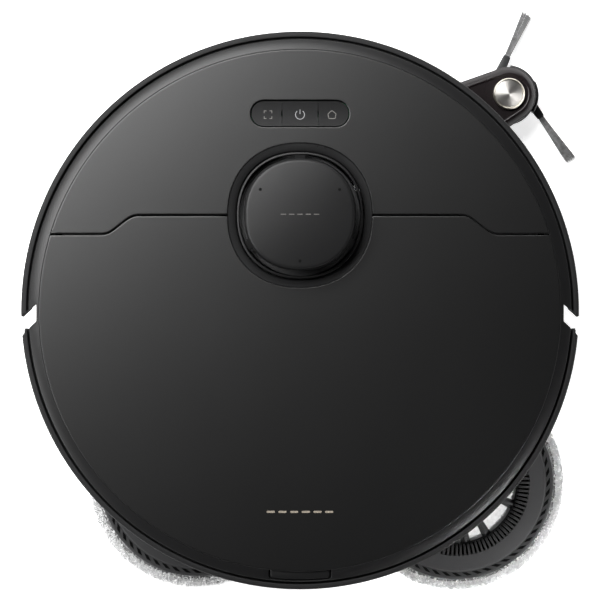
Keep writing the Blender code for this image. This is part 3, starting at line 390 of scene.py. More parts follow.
def filled(loops, grid):
    """(points, triangles) of the area inside the loops."""
    edge = np.concatenate([np.array(loop, float) for loop in loops])
    joins, start = [], 0
    for loop in loops:
        joins += [(start + i, start + (i + 1) % len(loop)) for i in range(len(loop))]
        start += len(loop)
    points = edge
    if grid:
        low, high = edge.min(0), edge.max(0)
        xs, ys = np.arange(low[0], high[0], grid), np.arange(low[1], high[1], grid * 0.866)
        mesh = np.stack(np.meshgrid(xs, ys), -1)
        mesh[1::2, :, 0] += grid / 2
        mesh = mesh.reshape(-1, 2)
        mesh = mesh[inside(mesh, loops)]
        near = np.array([np.min(np.hypot(*(edge - p).T)) for p in mesh]) if len(mesh) else np.zeros(0)
        points = np.concatenate([edge, mesh[near > grid * 0.45]])
    made = delaunay_2d_cdt([Vector(p) for p in points], joins, [], 0, 1e-7, True)
    points, triangles = np.array([tuple(p) for p in made[0]]), np.array([list(face) for face in made[2]])
    corners = points[triangles]
    kept = triangles[inside(corners.mean(1), loops)]
    corners = points[kept]
    u, v = corners[:, 1] - corners[:, 0], corners[:, 2] - corners[:, 0]
    flip = u[:, 0] * v[:, 1] - u[:, 1] * v[:, 0] < 0
    kept[flip] = kept[flip][:, ::-1]
    return points, kept


HEM = 0.0005  # width of the plain strip inside a plate's rounded edge


class Shape:
    """Points and faces gathered for one piece."""

    def __init__(self):
        self.points, self.faces, self.slots = [], [], []

    def add(self, points, faces, slot=0):
        base = len(self.points)
        self.points += [tuple(map(float, p)) for p in points]
        self.faces += [[base + int(i) for i in face] for face in faces]
        self.slots += [slot] * len(faces)
        return self

    def rows(self, rows, slot=0, closed_rows=True, closed=False):
        """Quads between rows of as many points each."""
        count = len(rows[0])
        points = [p for row in rows for p in row]
        faces = []
        for r in range(len(rows) if closed else len(rows) - 1):
            below, above = r * count, (r + 1) % len(rows) * count
            for i in range(count if closed_rows else count - 1):
                after = (i + 1) % count
                faces.append((below + i, below + after, above + after, above + i))
        return self.add(points, faces, slot)

    def turned(self, profile, centre=(0, 0), steps=144, power=2.0, slot=0, closed=True):
        """A (radius, height) profile turned about Z. Closed joins its last point to its first."""
        rows = [
            [(x, y, z) for x, y in ring(centre, radius, steps, power)]
            if radius > 0
            else [(*centre, z)] * steps
            for radius, z in profile
        ]
        return self.rows(rows, slot, closed=closed)

    def lathe(self, corners, centre=(0, 0), steps=144, power=2.0, slot=0, arc_steps=5):
        """An open profile of (radius, height, corner radius), softened and turned about Z."""
        profile = softened(corners, closed=False, steps=arc_steps)
        return self.turned(profile, centre, steps, power, slot, closed=False)

    def pin(self, centre, radius, start, end, steps):
        """A plain round pin between two heights."""
        profile = [(0.0, start), (radius, start), (radius, end), (0.0, end)]
        return self.turned(profile, centre, steps, closed=False)

    def swept(self, rows, slot=0, flip=False):
        """Rows of points joined by quads, with a face over each end."""
        way = list(range(len(rows[0])))
        self.rows(rows, slot)
        self.add(rows[0], [way[::-1] if flip else way], slot)
        return self.add(rows[-1], [way if flip else way[::-1]], slot)

    def slab(self, loops, top, bottom, fillet=0.0005, steps=4, grid=0.0, slot=0, under=0.0):
        """A plate with rounded upper edges, and rounded lower ones where under is given.

        top and bottom are heights or functions of (x, y)."""
        high = top if callable(top) else lambda x, y: top
        low = bottom if callable(bottom) else lambda x, y: bottom
        turns = [math.pi / 2 * step / steps for step in range(steps + 1)]
        upper = [(fillet * (1 - math.cos(a)), fillet * (1 - math.sin(a))) for a in turns]
        lower = [(under * (1 - math.sin(a)), under * (1 - math.cos(a))) for a in turns]
        upper = upper if fillet else [(0.0, 0.0)]
        lower = lower if under else [(0.0, 0.0)]
        brim = fillet + (HEM if grid else 0.0)
        for loop in loops:
            rows = [[(x, y, low(x, y) + rise) for x, y in inset(loop, away)] for away, rise in lower]
            rows += [[(x, y, high(x, y) - drop) for x, y in inset(loop, away)] for away, drop in upper]
            if brim > fillet:
                rows.append([(x, y, high(x, y)) for x, y in inset(loop, brim)])
            self.rows(rows, slot)
        points, faces = filled([inset(loop, brim) for loop in loops], grid)
        self.add([(x, y, high(x, y)) for x, y in points], faces, slot)
        points, faces = filled([inset(loop, under) for loop in loops], grid * 2)
        return self.add([(x, y, low(x, y)) for x, y in points], faces[:, ::-1], slot)

    def tube(self, path, radii, sides=6):
        """A round bar along points, as thick as its radii say."""
        points = [Vector(p) for p in path]
        radii = radii if hasattr(radii, "__len__") else [radii] * len(points)
        rows, side = [], None
        for i, here in enumerate(points):
            along = (points[min(i + 1, len(points) - 1)] - points[max(i - 1, 0)]).normalized()
            if side is None:
                side = along.orthogonal().normalized()
            side = (side - along * side.dot(along)).normalized()
            other = along.cross(side)
            turns = [2 * math.pi * k / sides for k in range(sides)]
            rows.append([here + (side * math.cos(t) + other * math.sin(t)) * radii[i] for t in turns])
        return self.swept(rows, flip=True)

    def moved(self, matrix):
        self.points = [tuple(matrix @ Vector(p)) for p in self.points]
        return self

    def join(self, other, matrix):
        """Takes up another shape, moved by the matrix."""
        base = len(self.points)
        self.points += other.moved(matrix).points
        self.faces += [[base + i for i in face] for face in other.faces]
        self.slots += other.slots
        return self


def cutter(shape):
    """A temporary object that cuts a piece. piece() removes it after use."""
    mesh = bpy.data.meshes.new("cutter")
    mesh.from_pydata(shape.points, [], shape.faces)
    clean(mesh)
    made = bpy.data.objects.new("cutter", mesh)
    bpy.context.scene.collection.objects.link(made)
    return made


def clean(mesh):
    bm = bmesh.new()
    bm.from_mesh(mesh)
    bmesh.ops.remove_doubles(bm, verts=bm.verts, dist=1e-6)
    bmesh.ops.dissolve_degenerate(bm, edges=bm.edges, dist=1e-7)
    bmesh.ops.recalc_face_normals(bm, faces=bm.faces)
    bm.to_mesh(mesh)
    bm.free()


def piece(name, shape, finishes, body, stands_for=(), cuts=(), crease=32, tidy=True):
    """A finished piece: its mesh, its materials, the CAD body it rides on and the nodes it stands for.

    tidy merges doubled points; the many thin strands of fibre do without."""
    mesh = bpy.data.meshes.new(name)
    mesh.from_pydata(shape.points, [], shape.faces)
    finishes = finishes if isinstance(finishes, (list, tuple)) else [finishes]
    for finish in finishes:
        mesh.materials.append(finish)
    mesh.polygons.foreach_set("material_index", shape.slots)
    if tidy:
        clean(mesh)
    obj = bpy.data.objects.new(name, mesh)
    bpy.context.scene.collection.objects.link(obj)
    for other in cuts:
        cut = obj.modifiers.new("cut", "BOOLEAN")
        cut.object, cut.solver, cut.operation = other, "EXACT", "DIFFERENCE"
    if cuts:
        graph = bpy.context.evaluated_depsgraph_get()
        obj.data = bpy.data.meshes.new_from_object(obj.evaluated_get(graph))
        obj.modifiers.clear()
        for other in cuts:
            bpy.data.objects.remove(other)
    obj.data.transform(Matrix.Translation((DISC.x, DISC.y, 0)))
    obj.data.shade_smooth()
    obj.data.set_sharp_from_angle(angle=math.radians(crease))
    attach(obj, body)
    if stands_for:
        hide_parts(*([stands_for] if isinstance(stands_for, str) else stands_for))
    return obj


# ---------------------------------------------------------------- screws
def screw_head(shape, place, radius, down=False, slot=0):
    """A domed cross-head screw, its head up or down, on a face at that place."""
    dome = [(0.0, 0.0006), (radius * 0.5, 0.00058), (radius, 0.00030, 0.0003), (radius, -0.0004)]
    head = Shape().lathe([*dome, (0.0, -0.0004)], steps=28, slot=slot)
    arm, half = radius * 0.55, radius * 0.13
    # The cross is a dark plate just proud of the dome: painted shade in place of the recess.
    for turn in (0, 90):
        bar = Shape().slab([box_outline(-arm, -half, arm, half)], 0.00066, 0.0002, 0, slot=slot + 1)
        head.join(bar, turned_to(turn))
    shape.join(head, turned_to(180 if down else 0, place, "X"))


# ---------------------------------------------------------------- top plates and ring
def deck_height(x, y):
    return DECK_TOP - DECK_CROWN * (x * x + y * y) / DECK_RADIUS**2


def under_deck(x, y):
    return deck_height(x, y) - DECK_THICKNESS


def seam_y(x):
    along = (abs(x) - SEAM_STEP[0]) / (SEAM_STEP[1] - SEAM_STEP[0])
    along = min(max(along, 0.0), 1.0)
    return SEAM_INNER_Y + (SEAM_OUTER_Y - SEAM_INNER_Y) * along * along * (3 - 2 * along)


def seam_line(side):
    """One edge of the seam on the right, from the turret's well out to the rim."""
    first = TURRET[0] + WELL_RADIUS + HAIRLINE
    last = math.sqrt(DECK_RADIUS**2 - (SEAM_OUTER_Y + side * SEAM_GAP / 2) ** 2)
    straight = list(np.linspace(first, SEAM_STEP[0], 10))[:-1]
    step = list(np.linspace(*SEAM_STEP, 13))
    rest = list(np.linspace(SEAM_STEP[1], last, 8))[1:]
    return [(x, seam_y(x) + side * SEAM_GAP / 2) for x in straight + step + rest]


def plate_outline(side):
    """Outline of the front deck (side 1) or of the rear lid (side -1), anticlockwise."""
    right = seam_line(side)
    end = math.degrees(math.atan2(right[-1][1], right[-1][0]))
    left = [(-x, y) for x, y in right]
    lift = math.degrees(side * SEAM_GAP / 2 / WELL_RADIUS)
    hole = WELL_RADIUS + HAIRLINE
    if side > 0:
        rim = arc((0, 0), DECK_RADIUS, end, 180 - end, 150)[1:-1]
        well = arc(TURRET, hole, 180 - lift, lift, 60, SQUARENESS)[1:-1]
        return rim + left[::-1] + well + right
    rim = arc((0, 0), DECK_RADIUS, 180 - end, 360 + end, 210)[1:-1]
    well = arc(TURRET, hole, 360 + lift, 180 - lift, 60, SQUARENESS)[1:-1]
    return rim + right[::-1] + well + left


def pill(centre, size, margin=0.0, count=14):
    half = size[0] / 2 - size[1] / 2
    radius = size[1] / 2 + margin
    right = arc((centre[0] + half, centre[1]), radius, -90, 90, count)
    return right + arc((centre[0] - half, centre[1]), radius, 90, 270, count)


def make_top():
    hole = pill(PANEL, PANEL_SIZE, 0.0006)[::-1]
    deck = Shape().slab([plate_outline(1), hole], deck_height, under_deck, 0.0004, 3, 0.006)
    piece("deck_front", deck, DECK_BLACK, "root", "front_deck")
    lid = Shape().slab([plate_outline(-1)], deck_height, under_deck, 0.0004, 3, 0.006)
    piece("lid_rear", lid, DECK_BLACK, "rear_lid", "rear_lid")


def ring_height(x, y):
    return RING_HIGH - RING_DROP * (math.hypot(x, y) - RING_INNER) / (RING_OUTER - RING_INNER)


def slot_meets(radius, line):
    """The angle where a slot's edge crosses a circle about the middle, on the right."""
    y, slope = line
    angle = 0.0
    for _ in range(30):
        angle = math.asin((y - slope * (radius * math.cos(angle) - SLOT_X)) / radius)
    return math.degrees(angle)


def make_ring():
    front = slot_meets(RING_OUTER, SLOT_FRONT)
    rear = slot_meets(RING_OUTER, SLOT_REAR)
    outer = arc((0, 0), RING_OUTER, front, 180 - front, 180)
    for side in (-1, 1):
        lines = [(SLOT_X, SLOT_FRONT[0]), (SLOT_X, SLOT_REAR[0])]
        lines = [(side * x, y) for x, y in lines]
        outer += lines if side < 0 else lines[::-1]
        if side < 0:
            outer += arc((0, 0), RING_OUTER, 180 - rear, 360 + rear, 180)
    notch = math.degrees(math.asin(NOTCH_HALF_WIDTH / RING_INNER))
    inner = arc((0, 0), RING_INNER, -90 - notch, -90 - 360 + notch, 240)
    deep = math.sqrt(NOTCH_OUTER**2 - NOTCH_HALF_WIDTH**2)
    hole = inner + softened(
        [inner[-1], (NOTCH_HALF_WIDTH, -deep, 0.0034)]
        + arc((0, 0), NOTCH_OUTER, -84.6, -95.4, 9)
        + [(-NOTCH_HALF_WIDTH, -deep, 0.0034), inner[0]],
        closed=False,
    )[1:-1]
    rim = Shape().slab([outer, hole], ring_height, RING_BOTTOM, 0.00035, 3)
    half, near = NOTCH_HALF_WIDTH - TAB_GAP, -0.1612
    tab = softened(
        [(half, near), (-half, near), (-half, -deep + TAB_GAP, 0.0030)]
        + arc((0, 0), NOTCH_OUTER - TAB_GAP, -95.2, -84.8, 9)
        + [(half, -deep + TAB_GAP, 0.0030)]
    )
    rim.slab([tab], 0.0787, 0.0759, 0.0006, 3)
    tray = [(-0.0212, near), *arc((0, 0), 0.1697, -97.2, -82.8, 13), (0.0212, near)]
    rim.slab([tray], 0.0759, 0.0753, 0)
    piece("rim", rim, RING_BLACK, "root", "rim_ring")


# ---------------------------------------------------------------- outer wall
def wall_profile():
    """The wall's section as (radius, height), lip first and then down the outside."""
    lip = top_of("rear_shell")
    outside = [
        (GROOVE_INNER, lip - 0.0062, 0),
        (GROOVE_INNER, lip - 0.0034, 0.0003),
        (LIP_INNER - 0.0006, lip - 0.0034, 0.0004),
        (LIP_INNER, lip, 0.0005),
        (BODY_RADIUS, lip, 0.0014),
        (BODY_RADIUS, 0.0240, 0.004),
        (0.1735, 0.0155, 0.004),
        (0.1704, 0.0120, 0.001),
        (0.1682, 0.0120, 0),
        (0.1682, 0.0145, 0),
        (LIP_INNER, 0.0240, 0),
        (LIP_INNER, lip - 0.0062, 0),
    ]
    return softened(outside, steps=5)


def swept_wall(profile, first, last, steps, rake=0.0, tip=0.0008):
    """The section swept round the body between two slot edges, with rounded tips.

    With rake, the ends lean back from the slots on their way down."""
    mid = (LIP_INNER + BODY_RADIUS) / 2
    lip = max(z for _, z in profile)

    def row(share, squeeze, back):
        made = []
        for radius, z in profile:
            meets = radius * (1 - rake * (lip - z))
            start, end = first(meets), last(meets)
            spare = math.degrees(back * tip / radius)
            angle = math.radians(start + spare + (end - start - 2 * spare) * share)
            r = mid + (radius - mid) * squeeze
            made.append((r * math.cos(angle), r * math.sin(angle), z))
        return made

    turns = [math.pi / 2 * k / 5 for k in range(6)]
    rows = [row(0, max(math.cos(t), 0.02), 1 - math.sin(t)) for t in reversed(turns)]
    rows += [row(k / steps, 1.0, 1.0) for k in range(1, steps)]
    rows += [row(1, max(math.cos(t), 0.02), 1 - math.sin(t)) for t in turns]
    return Shape().swept(rows)


def box_cutter(low, high):
    return cutter(Shape().slab([box_outline(*low[:2], *high[:2])], high[2], low[2], 0))


def sector_cutter(start, end, low, high, reach=0.25):
    outline = [(0, 0)] + arc((0, 0), reach, start, end, 7)
    return cutter(Shape().slab([outline], high, low, 0))


ARM_OPENING = (24, 63)
ARM_OPENING_TOP = 0.0355
MOP_OPENING_Y = -0.0425
MOP_OPENING_TOP = 0.0320
WINDOW_ANGLES = (70.1, 109.9)


def make_wall():
    profile = wall_profile()
    bumper = swept_wall(
        profile,
        lambda r: slot_meets(r, SLOT_FRONT),
        lambda r: 180 - slot_meets(r, SLOT_FRONT),
        220,
        SLOT_RAKE,
    )
    window_gap, window_turn = 0.0003, 0.2
    low, high = bottom_of("sensor_window") - window_gap, top_of("sensor_window") + window_gap
    cuts = [
        sector_cutter(*ARM_OPENING, 0.0, ARM_OPENING_TOP),
        sector_cutter(WINDOW_ANGLES[0] - window_turn, WINDOW_ANGLES[1] + window_turn, low, high),
    ]
    piece("bumper_shell", bumper, SHELL_BLACK, "bumper", "front_bumper", cuts)
    shell = swept_wall(
        profile,
        lambda r: 180 - slot_meets(r, SLOT_REAR),
        lambda r: 360 + slot_meets(r, SLOT_REAR),
        220,
    )
    cuts = [box_cutter((-0.2, -0.2, 0.0), (0.2, MOP_OPENING_Y, MOP_OPENING_TOP))]
    for side in (-1, 1):
        xs = sorted((0.0147 * side, 0.0293 * side))
        cuts.append(box_cutter((xs[0], -0.180, 0.0377), (xs[1], -0.165, 0.0463)))
    piece("rear_wall", shell, SHELL_BLACK, "root", "rear_shell", cuts)


# ---------------------------------------------------------------- lidar turret
def make_turret_cover():
    """The squarish cap, its lower ledge and the three pillars between them, with dots and a mark on top."""
    top = top_of("turret_cover")
    brim = top - 0.0068
    cap = [(0.0, top - 0.0001), (0.0318, top - 0.0001), (0.0336, top - 0.0005, 0.0014),
           (0.0348, brim, 0.0005), (0.0334, brim, 0.0003), (0.0316, top - 0.0021, 0.0010),
           (0.0, top - 0.0019)]
    cover = Shape().lathe(cap, TURRET, 160, SQUARENESS, arc_steps=6)
    ledge_low = bottom_of("turret_cover")
    ledge = [(0.0379, ledge_low, 0.0003), (0.0394, ledge_low, 0.0003), (0.0394, 0.0846, 0.0006),
             (0.0379, 0.0848, 0.0004)]
    cover.turned(softened(ledge), TURRET, 160, SQUARENESS)
    for angle in PILLAR_ANGLES:
        stretch = 1.0 if angle == 90 else 1.017
        rows = []
        for z, out in ((0.0838, 0.0379), (0.0880, 0.0370), (0.0960, 0.0349), (0.0985, 0.0340)):
            corners = [(-0.0032, out - 0.0013, 0.0003), (0.0032, out - 0.0013, 0.0003),
                       (0.0032, out, 0.0005), (-0.0032, out, 0.0005)]
            rows.append([(x, y * stretch, z) for x, y in softened(corners, steps=3)])
        cover.join(Shape().rows(rows), turned_to(angle - 90, (*TURRET, 0)))
    piece("turret_cap", cover, TURRET_BLACK, "turret_cover", "turret_cover")
    # The three dots are near-black discs laid on the cap: painted shade in place of holes.
    dots = Shape()
    for angle in (32, 148, 270):
        spot = ring(arc(TURRET, 0.0288, angle, angle, 1)[0], 0.00095, 16)
        dots.slab([spot], top - 0.00006, top - 0.0012, 0)
    piece("turret_dots", dots, PAINTED_HOLE_SHADE, "turret_cover")
    dashes = Shape()
    for index in range(5):
        x = TURRET[0] + (index - 2) * 0.0051
        bar = pill((x, TURRET[1]), (0.0034, 0.00035), count=4)
        dashes.slab([bar], top - 0.00006, top - 0.0003, 0)
    piece("turret_mark", dashes, SYMBOL_DIM, "turret_cover")


def make_turret_well():
    dish = [(0.0400, 0.0772)]
    dish += [(0.0400 + 0.0046 * t, 0.0774 + 0.0040 * t**0.6) for t in np.linspace(0, 1, 14)]
    outer = [(0.0449, 0.0816), (WELL_RADIUS, 0.0814), (WELL_RADIUS, 0.0795), (0.0440, 0.0760)]
    skirt = [(0.0440, 0.0520), (0.0415, 0.0520), (0.0415, 0.0755)]
    well = Shape().turned(dish + outer + skirt, TURRET, 160, SQUARENESS)
    # The dish is drawn in a lightened black: painted light where the turret shades it.
    piece("well_dish", well, DISH_PAINTED_LIGHT, "root", "turret_well")


def make_lidar():
    """The floor under the turret, and the drum with its two lenses."""
    base = [(0.0, 0.0768), (0.0380, 0.0768, 0.0006), (0.0385, 0.0640, 0.0004), (0.0130, 0.0640),
            (0.0130, 0.0512), (0.0, 0.0512)]
    floor = Shape().lathe(base, TURRET, 128)
    for radius in (0.0345, 0.0325):
        lip = [(radius, 0.0766), (radius, 0.0773), (radius + 0.0008, 0.0773), (radius + 0.0008, 0.0766)]
        floor.turned(lip, TURRET, 128)
    piece("lidar_floor", floor, CHASSIS_BLACK, "root", "lidar_base")

    drum = [(0.0, 0.0965), (0.0262, 0.0965, 0.0010), (0.0265, 0.0835, 0.0008), (0.0285, 0.0815, 0.0005),
            (0.0285, 0.0776, 0.0003), (0.0, 0.0776)]
    rotor = Shape().lathe(drum, TURRET, 128)
    x, y = TURRET
    lens_z, lens_gap = 0.0895, 0.0004
    lenses, bores = Shape(), []
    for offset, radius in ((-0.0095, 0.0062), (0.0085, 0.0050)):
        bore = Shape().pin((0, 0), radius, 0.0, 0.02, 40)
        bores.append(cutter(bore.moved(turned_to(-90, (x + offset, y + 0.012, lens_z), "X"))))
        lens = radius - lens_gap
        glass = [(lens * math.sin(t), 0.0030 * math.cos(t)) for t in np.linspace(0, math.pi / 2, 9)]
        glass = Shape().turned([*glass, (lens, -0.001), (0, -0.001)], steps=40, closed=False)
        lenses.join(glass, turned_to(-90, (x + offset, y + 0.0140, lens_z), "X"))
    piece("lidar_drum", rotor, LIDAR_DARK, "lidar_rotor", "lidar_rotor", bores)
    piece("lidar_lenses", lenses, WINDOW_BLACK, "lidar_rotor")


# ---------------------------------------------------------------- buttons and marks
def stroke(line, width, closed=False):
    """Outlines of a line drawn with a pen of that width."""
    if closed:
        return [inset(line, -width / 2).tolist(), inset(line, width / 2).tolist()[::-1]]
    points = np.array(line, float)
    ahead = np.gradient(points, axis=0)
    ahead /= np.linalg.norm(ahead, axis=1)[:, None]
    left = np.stack([-ahead[:, 1], ahead[:, 0]], 1) * width / 2
    return [np.concatenate([points - left, (points + left)[::-1]]).tolist()]


def corner_mark(centre, reach, arm):
    """Four corner brackets of a square."""
    for sx, sy in ((1, 1), (-1, 1), (-1, -1), (1, -1)):
        corner = (centre[0] + sx * reach, centre[1] + sy * reach)
        along = (corner[0] - sx * arm, corner[1])
        down = (corner[0], corner[1] - sy * arm)
        yield along, corner, down


def make_buttons():
    width = 0.00036
    gap = 0.00006
    half = PANEL_SIZE[0] / 2
    top = top_of("button_power")
    low = top - 0.0020
    radius = PANEL_SIZE[1] / 2
    dash = 0.0018
    edges = {
        "button_spot": (-half, -BUTTON_SPLIT),
        "button_power": (-BUTTON_SPLIT, BUTTON_SPLIT),
        "button_home": (BUTTON_SPLIT, half),
    }
    x0, y0 = PANEL
    for name, (left, right) in edges.items():
        outline = []
        if right < half - radius:
            x = x0 + right - gap
            outline += [(x, y0 - radius), (x, y0 - dash), (x - 0.0003, y0 - dash)]
            outline += [(x - 0.0003, y0 + dash), (x, y0 + dash), (x, y0 + radius)]
        else:
            outline += arc((x0 + half - radius, y0), radius, -90, 90, 22)
        if left > -half + radius:
            x = x0 + left + gap
            outline += [(x, y0 + radius), (x, y0 + dash), (x + 0.0003, y0 + dash)]
            outline += [(x + 0.0003, y0 - dash), (x, y0 - dash), (x, y0 - radius)]
        else:
            outline += arc((x0 - half + radius, y0), radius, 90, 270, 22)

        def dished(x, y):
            """The pad is a little lower along its middle line."""
            return top - 0.00035 * (1 - ((y - y0) / radius) ** 2)

        key = Shape().slab([outline], dished, low, 0.00005, 1, 0.0024)
        centre = x0 + {"button_spot": -1, "button_power": 0, "button_home": 1}[name] * ICON_SPACING
        key.pin((centre, y0), 0.0024, low + 0.0001, bottom_of(name), 24)
        piece(name.replace("button", "key"), key, BUTTON_BLACK, name, name)
        symbol = Shape()
        high, deep = top - 0.00022, top - 0.0006
        if name == "button_spot":
            for line in corner_mark((centre, y0 - 0.0006), 0.0024, 0.0014):
                a, b, c = (Vector(p) for p in line)
                u, v = (b - a).normalized() * width / 2, (b - c).normalized() * width / 2
                bent = [tuple(p) for p in (a + v, b + u + v, c + u, c - u, b - u - v, a - v)]
                symbol.slab([anticlockwise(bent)], high, deep, 0)
        elif name == "button_power":
            circle = arc((centre, y0 - 0.0006), 0.0028, 128, 412, 36)
            symbol.slab(stroke(circle, width), high, deep, 0)
            bar = [(centre, y0 - 0.0002), (centre, y0 + 0.0012), (centre, y0 + 0.0026)]
            symbol.slab(stroke(bar, width), high, deep, 0)
        else:
            house = [(-0.0020, -0.0024), (0.0020, -0.0024), (0.0025, 0.0006), (0.0, 0.0026),
                     (-0.0025, 0.0006)]
            house = [(centre + x, y0 - 0.0006 + y, 0.0005) for x, y in house]
            symbol.slab(stroke(softened(house), width, closed=True), high, deep, 0)
        print_colour = SYMBOL_GREY if name == "button_power" else SYMBOL_DIM
        piece(name.replace("button", "symbol"), symbol, print_colour, name)


def make_lid_mark():
    """A plain row of inlaid dashes near the lid's tail, and the ribs under the lid."""
    shape = Shape()
    for index in range(6):
        x = (index - 2.5) * 0.0073
        bar = pill((x, -0.1258), (0.0052, 0.0013), count=7)
        z = deck_height(x, -0.1258)
        shape.slab([bar], z + 0.00004, z - 0.0003, 0)
    piece("lid_mark", shape, MARK_CHAMPAGNE, "rear_lid")
    # four ribs under the lid that stiffen it
    ribs = Shape()
    for x in (-0.09, -0.03, 0.03, 0.09):
        line = [(x, -0.115), (x, -0.060), (x, 0.010)]
        low = deck_height(x, -0.115) - DECK_THICKNESS
        ribs.slab(stroke(line, 0.0014), low + 0.0006, low - 0.0013, 0)
    piece("lid_ribs", ribs, RING_BLACK, "rear_lid")


# ---------------------------------------------------------------- side-brush arm
def hull(*circles, count=64):
    points = []
    for centre, radius in circles:
        points += ring(centre, radius, count)
    return [points[i] for i in convex_hull_2d([Vector(p) for p in points])]


def anticlockwise(loop):
    area = sum(p[0] * q[1] - q[0] * p[1] for p, q in zip(loop, loop[1:] + loop[:1]))
    return loop if area > 0 else loop[::-1]


ARM_PIVOT = (0.088, 0.128)


def make_side_arm():
    top = 0.030
    low = bottom_of("side_arm")
    outline = anticlockwise(hull((BRUSH_HUB, 0.0178), (ARM_PIVOT, 0.0130), ((0.104, 0.112), 0.0121)))
    arm = Shape().slab([outline], top - 0.0040, low, 0.0005, 3)
    crown = []
    for away, z in ((0.0005, top - 0.0040), (0.0014, top - 0.0026), (0.0030, top - 0.0009),
                    (0.0040, top - 0.0001), (0.0046, top), (0.0052, top - 0.0002), (0.0058, top - 0.0007)):
        crown.append([(x, y, z) for x, y in inset(outline, away)])
    arm.rows(crown)
    points, faces = filled([inset(outline, 0.0058)], 0)
    arm.add([(x, y, top - 0.0007) for x, y in points], faces)
    arm.pin(ARM_PIVOT, 0.0050, top_of("side_arm"), 0.0290, 32)
    inner = arc(BRUSH_HUB, 0.0150, 84, -34, 24)
    skirt = arc(BRUSH_HUB, 0.0202, -34, 26, 20) + arc(BRUSH_HUB, 0.0196, 28, 84, 20) + inner
    arm.slab([skirt], low + 0.0080, low + 0.0003, 0.0008, 3, slot=1, under=0.0005)
    piece("brush_arm", arm, [ARM_BROWN, HOLDER_BLACK], "side_arm", "side_arm")


def make_brush_cap():
    """The turned disc on the arm and the pale rim round it."""
    top, base = top_of("side_brush_cap"), bottom_of("side_brush_cap")
    face = [(0.0, top - 0.0004), (0.0086, top - 0.00055, 0.0004), (0.0091, top - 0.0009, 0.0002),
            (0.0091, base + 0.0002), (0.0, base + 0.0002)]
    cap = Shape().lathe(face, BRUSH_HUB, 96)
    rim = softened(
        [(0.0092, base), (0.0101, base, 0.0002), (0.0101, top - 0.0009, 0.0006), (0.0095, top, 0.0003),
         (0.0092, top - 0.0002, 0.0001)],
        steps=4,
    )
    cap.turned(rim, BRUSH_HUB, 96, slot=1)
    piece("brush_cap", cap, [TURNED_SILVER, CHAMPAGNE_METAL], "side_arm", "side_brush_cap")


BRUSH_ANGLES = (64.6, -54.0, 184.6)
BRUSH_REACHES = (0.0560, 0.0594, 0.0570)
BRUSH_PLANE = 0.0092
TUFT_LEAN = 7
TUFT_OFFSET = 0.0106
TUFT_START = 0.0220
BRISTLES = 190


def in_tuft(angle):
    """From a tuft's own axes, x along it and beside the hub's centre, to the body's."""
    beside = Matrix.Translation((0, TUFT_OFFSET, 0))
    return turned_to(angle, (*BRUSH_HUB, BRUSH_PLANE)) @ turned_to(TUFT_LEAN, axis="Y") @ beside


def make_brush():
    """The brush's hub, its screw and the three prongs that hold the tufts."""
    disc = [(0.0, 0.0116), (0.0176, 0.0116, 0.0008), (0.0188, 0.0104, 0.0008), (0.0184, 0.0068, 0.0008),
            (0.0090, 0.0068, 0.0006), (0.0080, 0.0078, 0.0004), (0.0, 0.0078)]
    hub = Shape().lathe(disc, BRUSH_HUB, 96)
    hub.pin(BRUSH_HUB, 0.0030, top_of("side_brush_hub"), 0.011, 24)
    screw_head(hub, (*BRUSH_HUB, 0.0078), 0.0034, down=True, slot=1)
    for angle in BRUSH_ANGLES:
        rows = []
        for x, wide, thick in ((0.0040, 0.0036, 0.0015), (0.0110, 0.0032, 0.0016), (0.0170, 0.0028, 0.0016),
                               (0.0215, 0.0026, 0.0015), (0.0240, 0.0024, 0.0014), (0.0247, 0.0019, 0.0010)):
            outline = softened([(-wide, -thick, 0.0004), (wide * 0.1, -thick * 0.9, 0.0006),
                                (wide, -thick * 0.2, 0.0004), (wide, thick, 0.0006), (-wide, thick, 0.0006)],
                               steps=4)
            rows.append([(x, u, v) for u, v in outline])
        way = list(range(len(rows[0])))
        holder = Shape().rows(rows).add(rows[-1], [way]).add(rows[0], [way[::-1]])
        hub.join(holder, in_tuft(angle))
    finishes = [HOLDER_BLACK, SCREW_STEEL, SCREW_RECESS_SHADE]
    piece("brush_hub", hub, finishes, "side_brush", "side_brush_hub")


def make_bristles():
    draw = random.Random(41)
    for number, (angle, longest) in enumerate(zip(BRUSH_ANGLES, BRUSH_REACHES), start=1):
        tuft = Shape()
        for _ in range(BRISTLES):
            u, v = draw.uniform(-1, 1), draw.uniform(-1, 1)
            reach = longest - draw.uniform(0.0, 0.0016) + 0.0006 * u
            wander = draw.gauss(0, 0.00022)
            path = []
            for t in (0.0, 0.25, 0.5, 0.75, 1.0):
                x = TUFT_START + (reach - TUFT_START) * t
                spread = 0.0017 + 0.0016 * t**1.2
                thick = 0.0009 - 0.0003 * t
                path.append((x, u * spread + wander * t * t, v * thick + 0.0002 * math.sin(3 * t + u * 9)))
            tuft.tube(path, [0.00012, 0.00012, 0.00012, 0.00011, 0.00007], 4)
        tuft.moved(in_tuft(angle))
        name = f"side_brush_tuft_{number}"
        piece(f"bristles_{number}", tuft, BRISTLE_GREY, "side_brush", name, tidy=False, crease=80)


# ---------------------------------------------------------------- mops
PAD_RADIUS = 0.0655
FRINGE_REACH = 0.0714
HOLDER_WINDOWS = 6
HOLDER_SLOTS = 56
HOLDER_RIBS = 104
EDGE_LOOPS = 5000
BACK_LOOPS = 1500
LOOSE_FIBRES = 2600


def swung(along, side, angle):
    """A step along a heading and to its left, as x and y."""
    c, s = math.cos(angle), math.sin(angle)
    return along * c - side * s, along * s + side * c


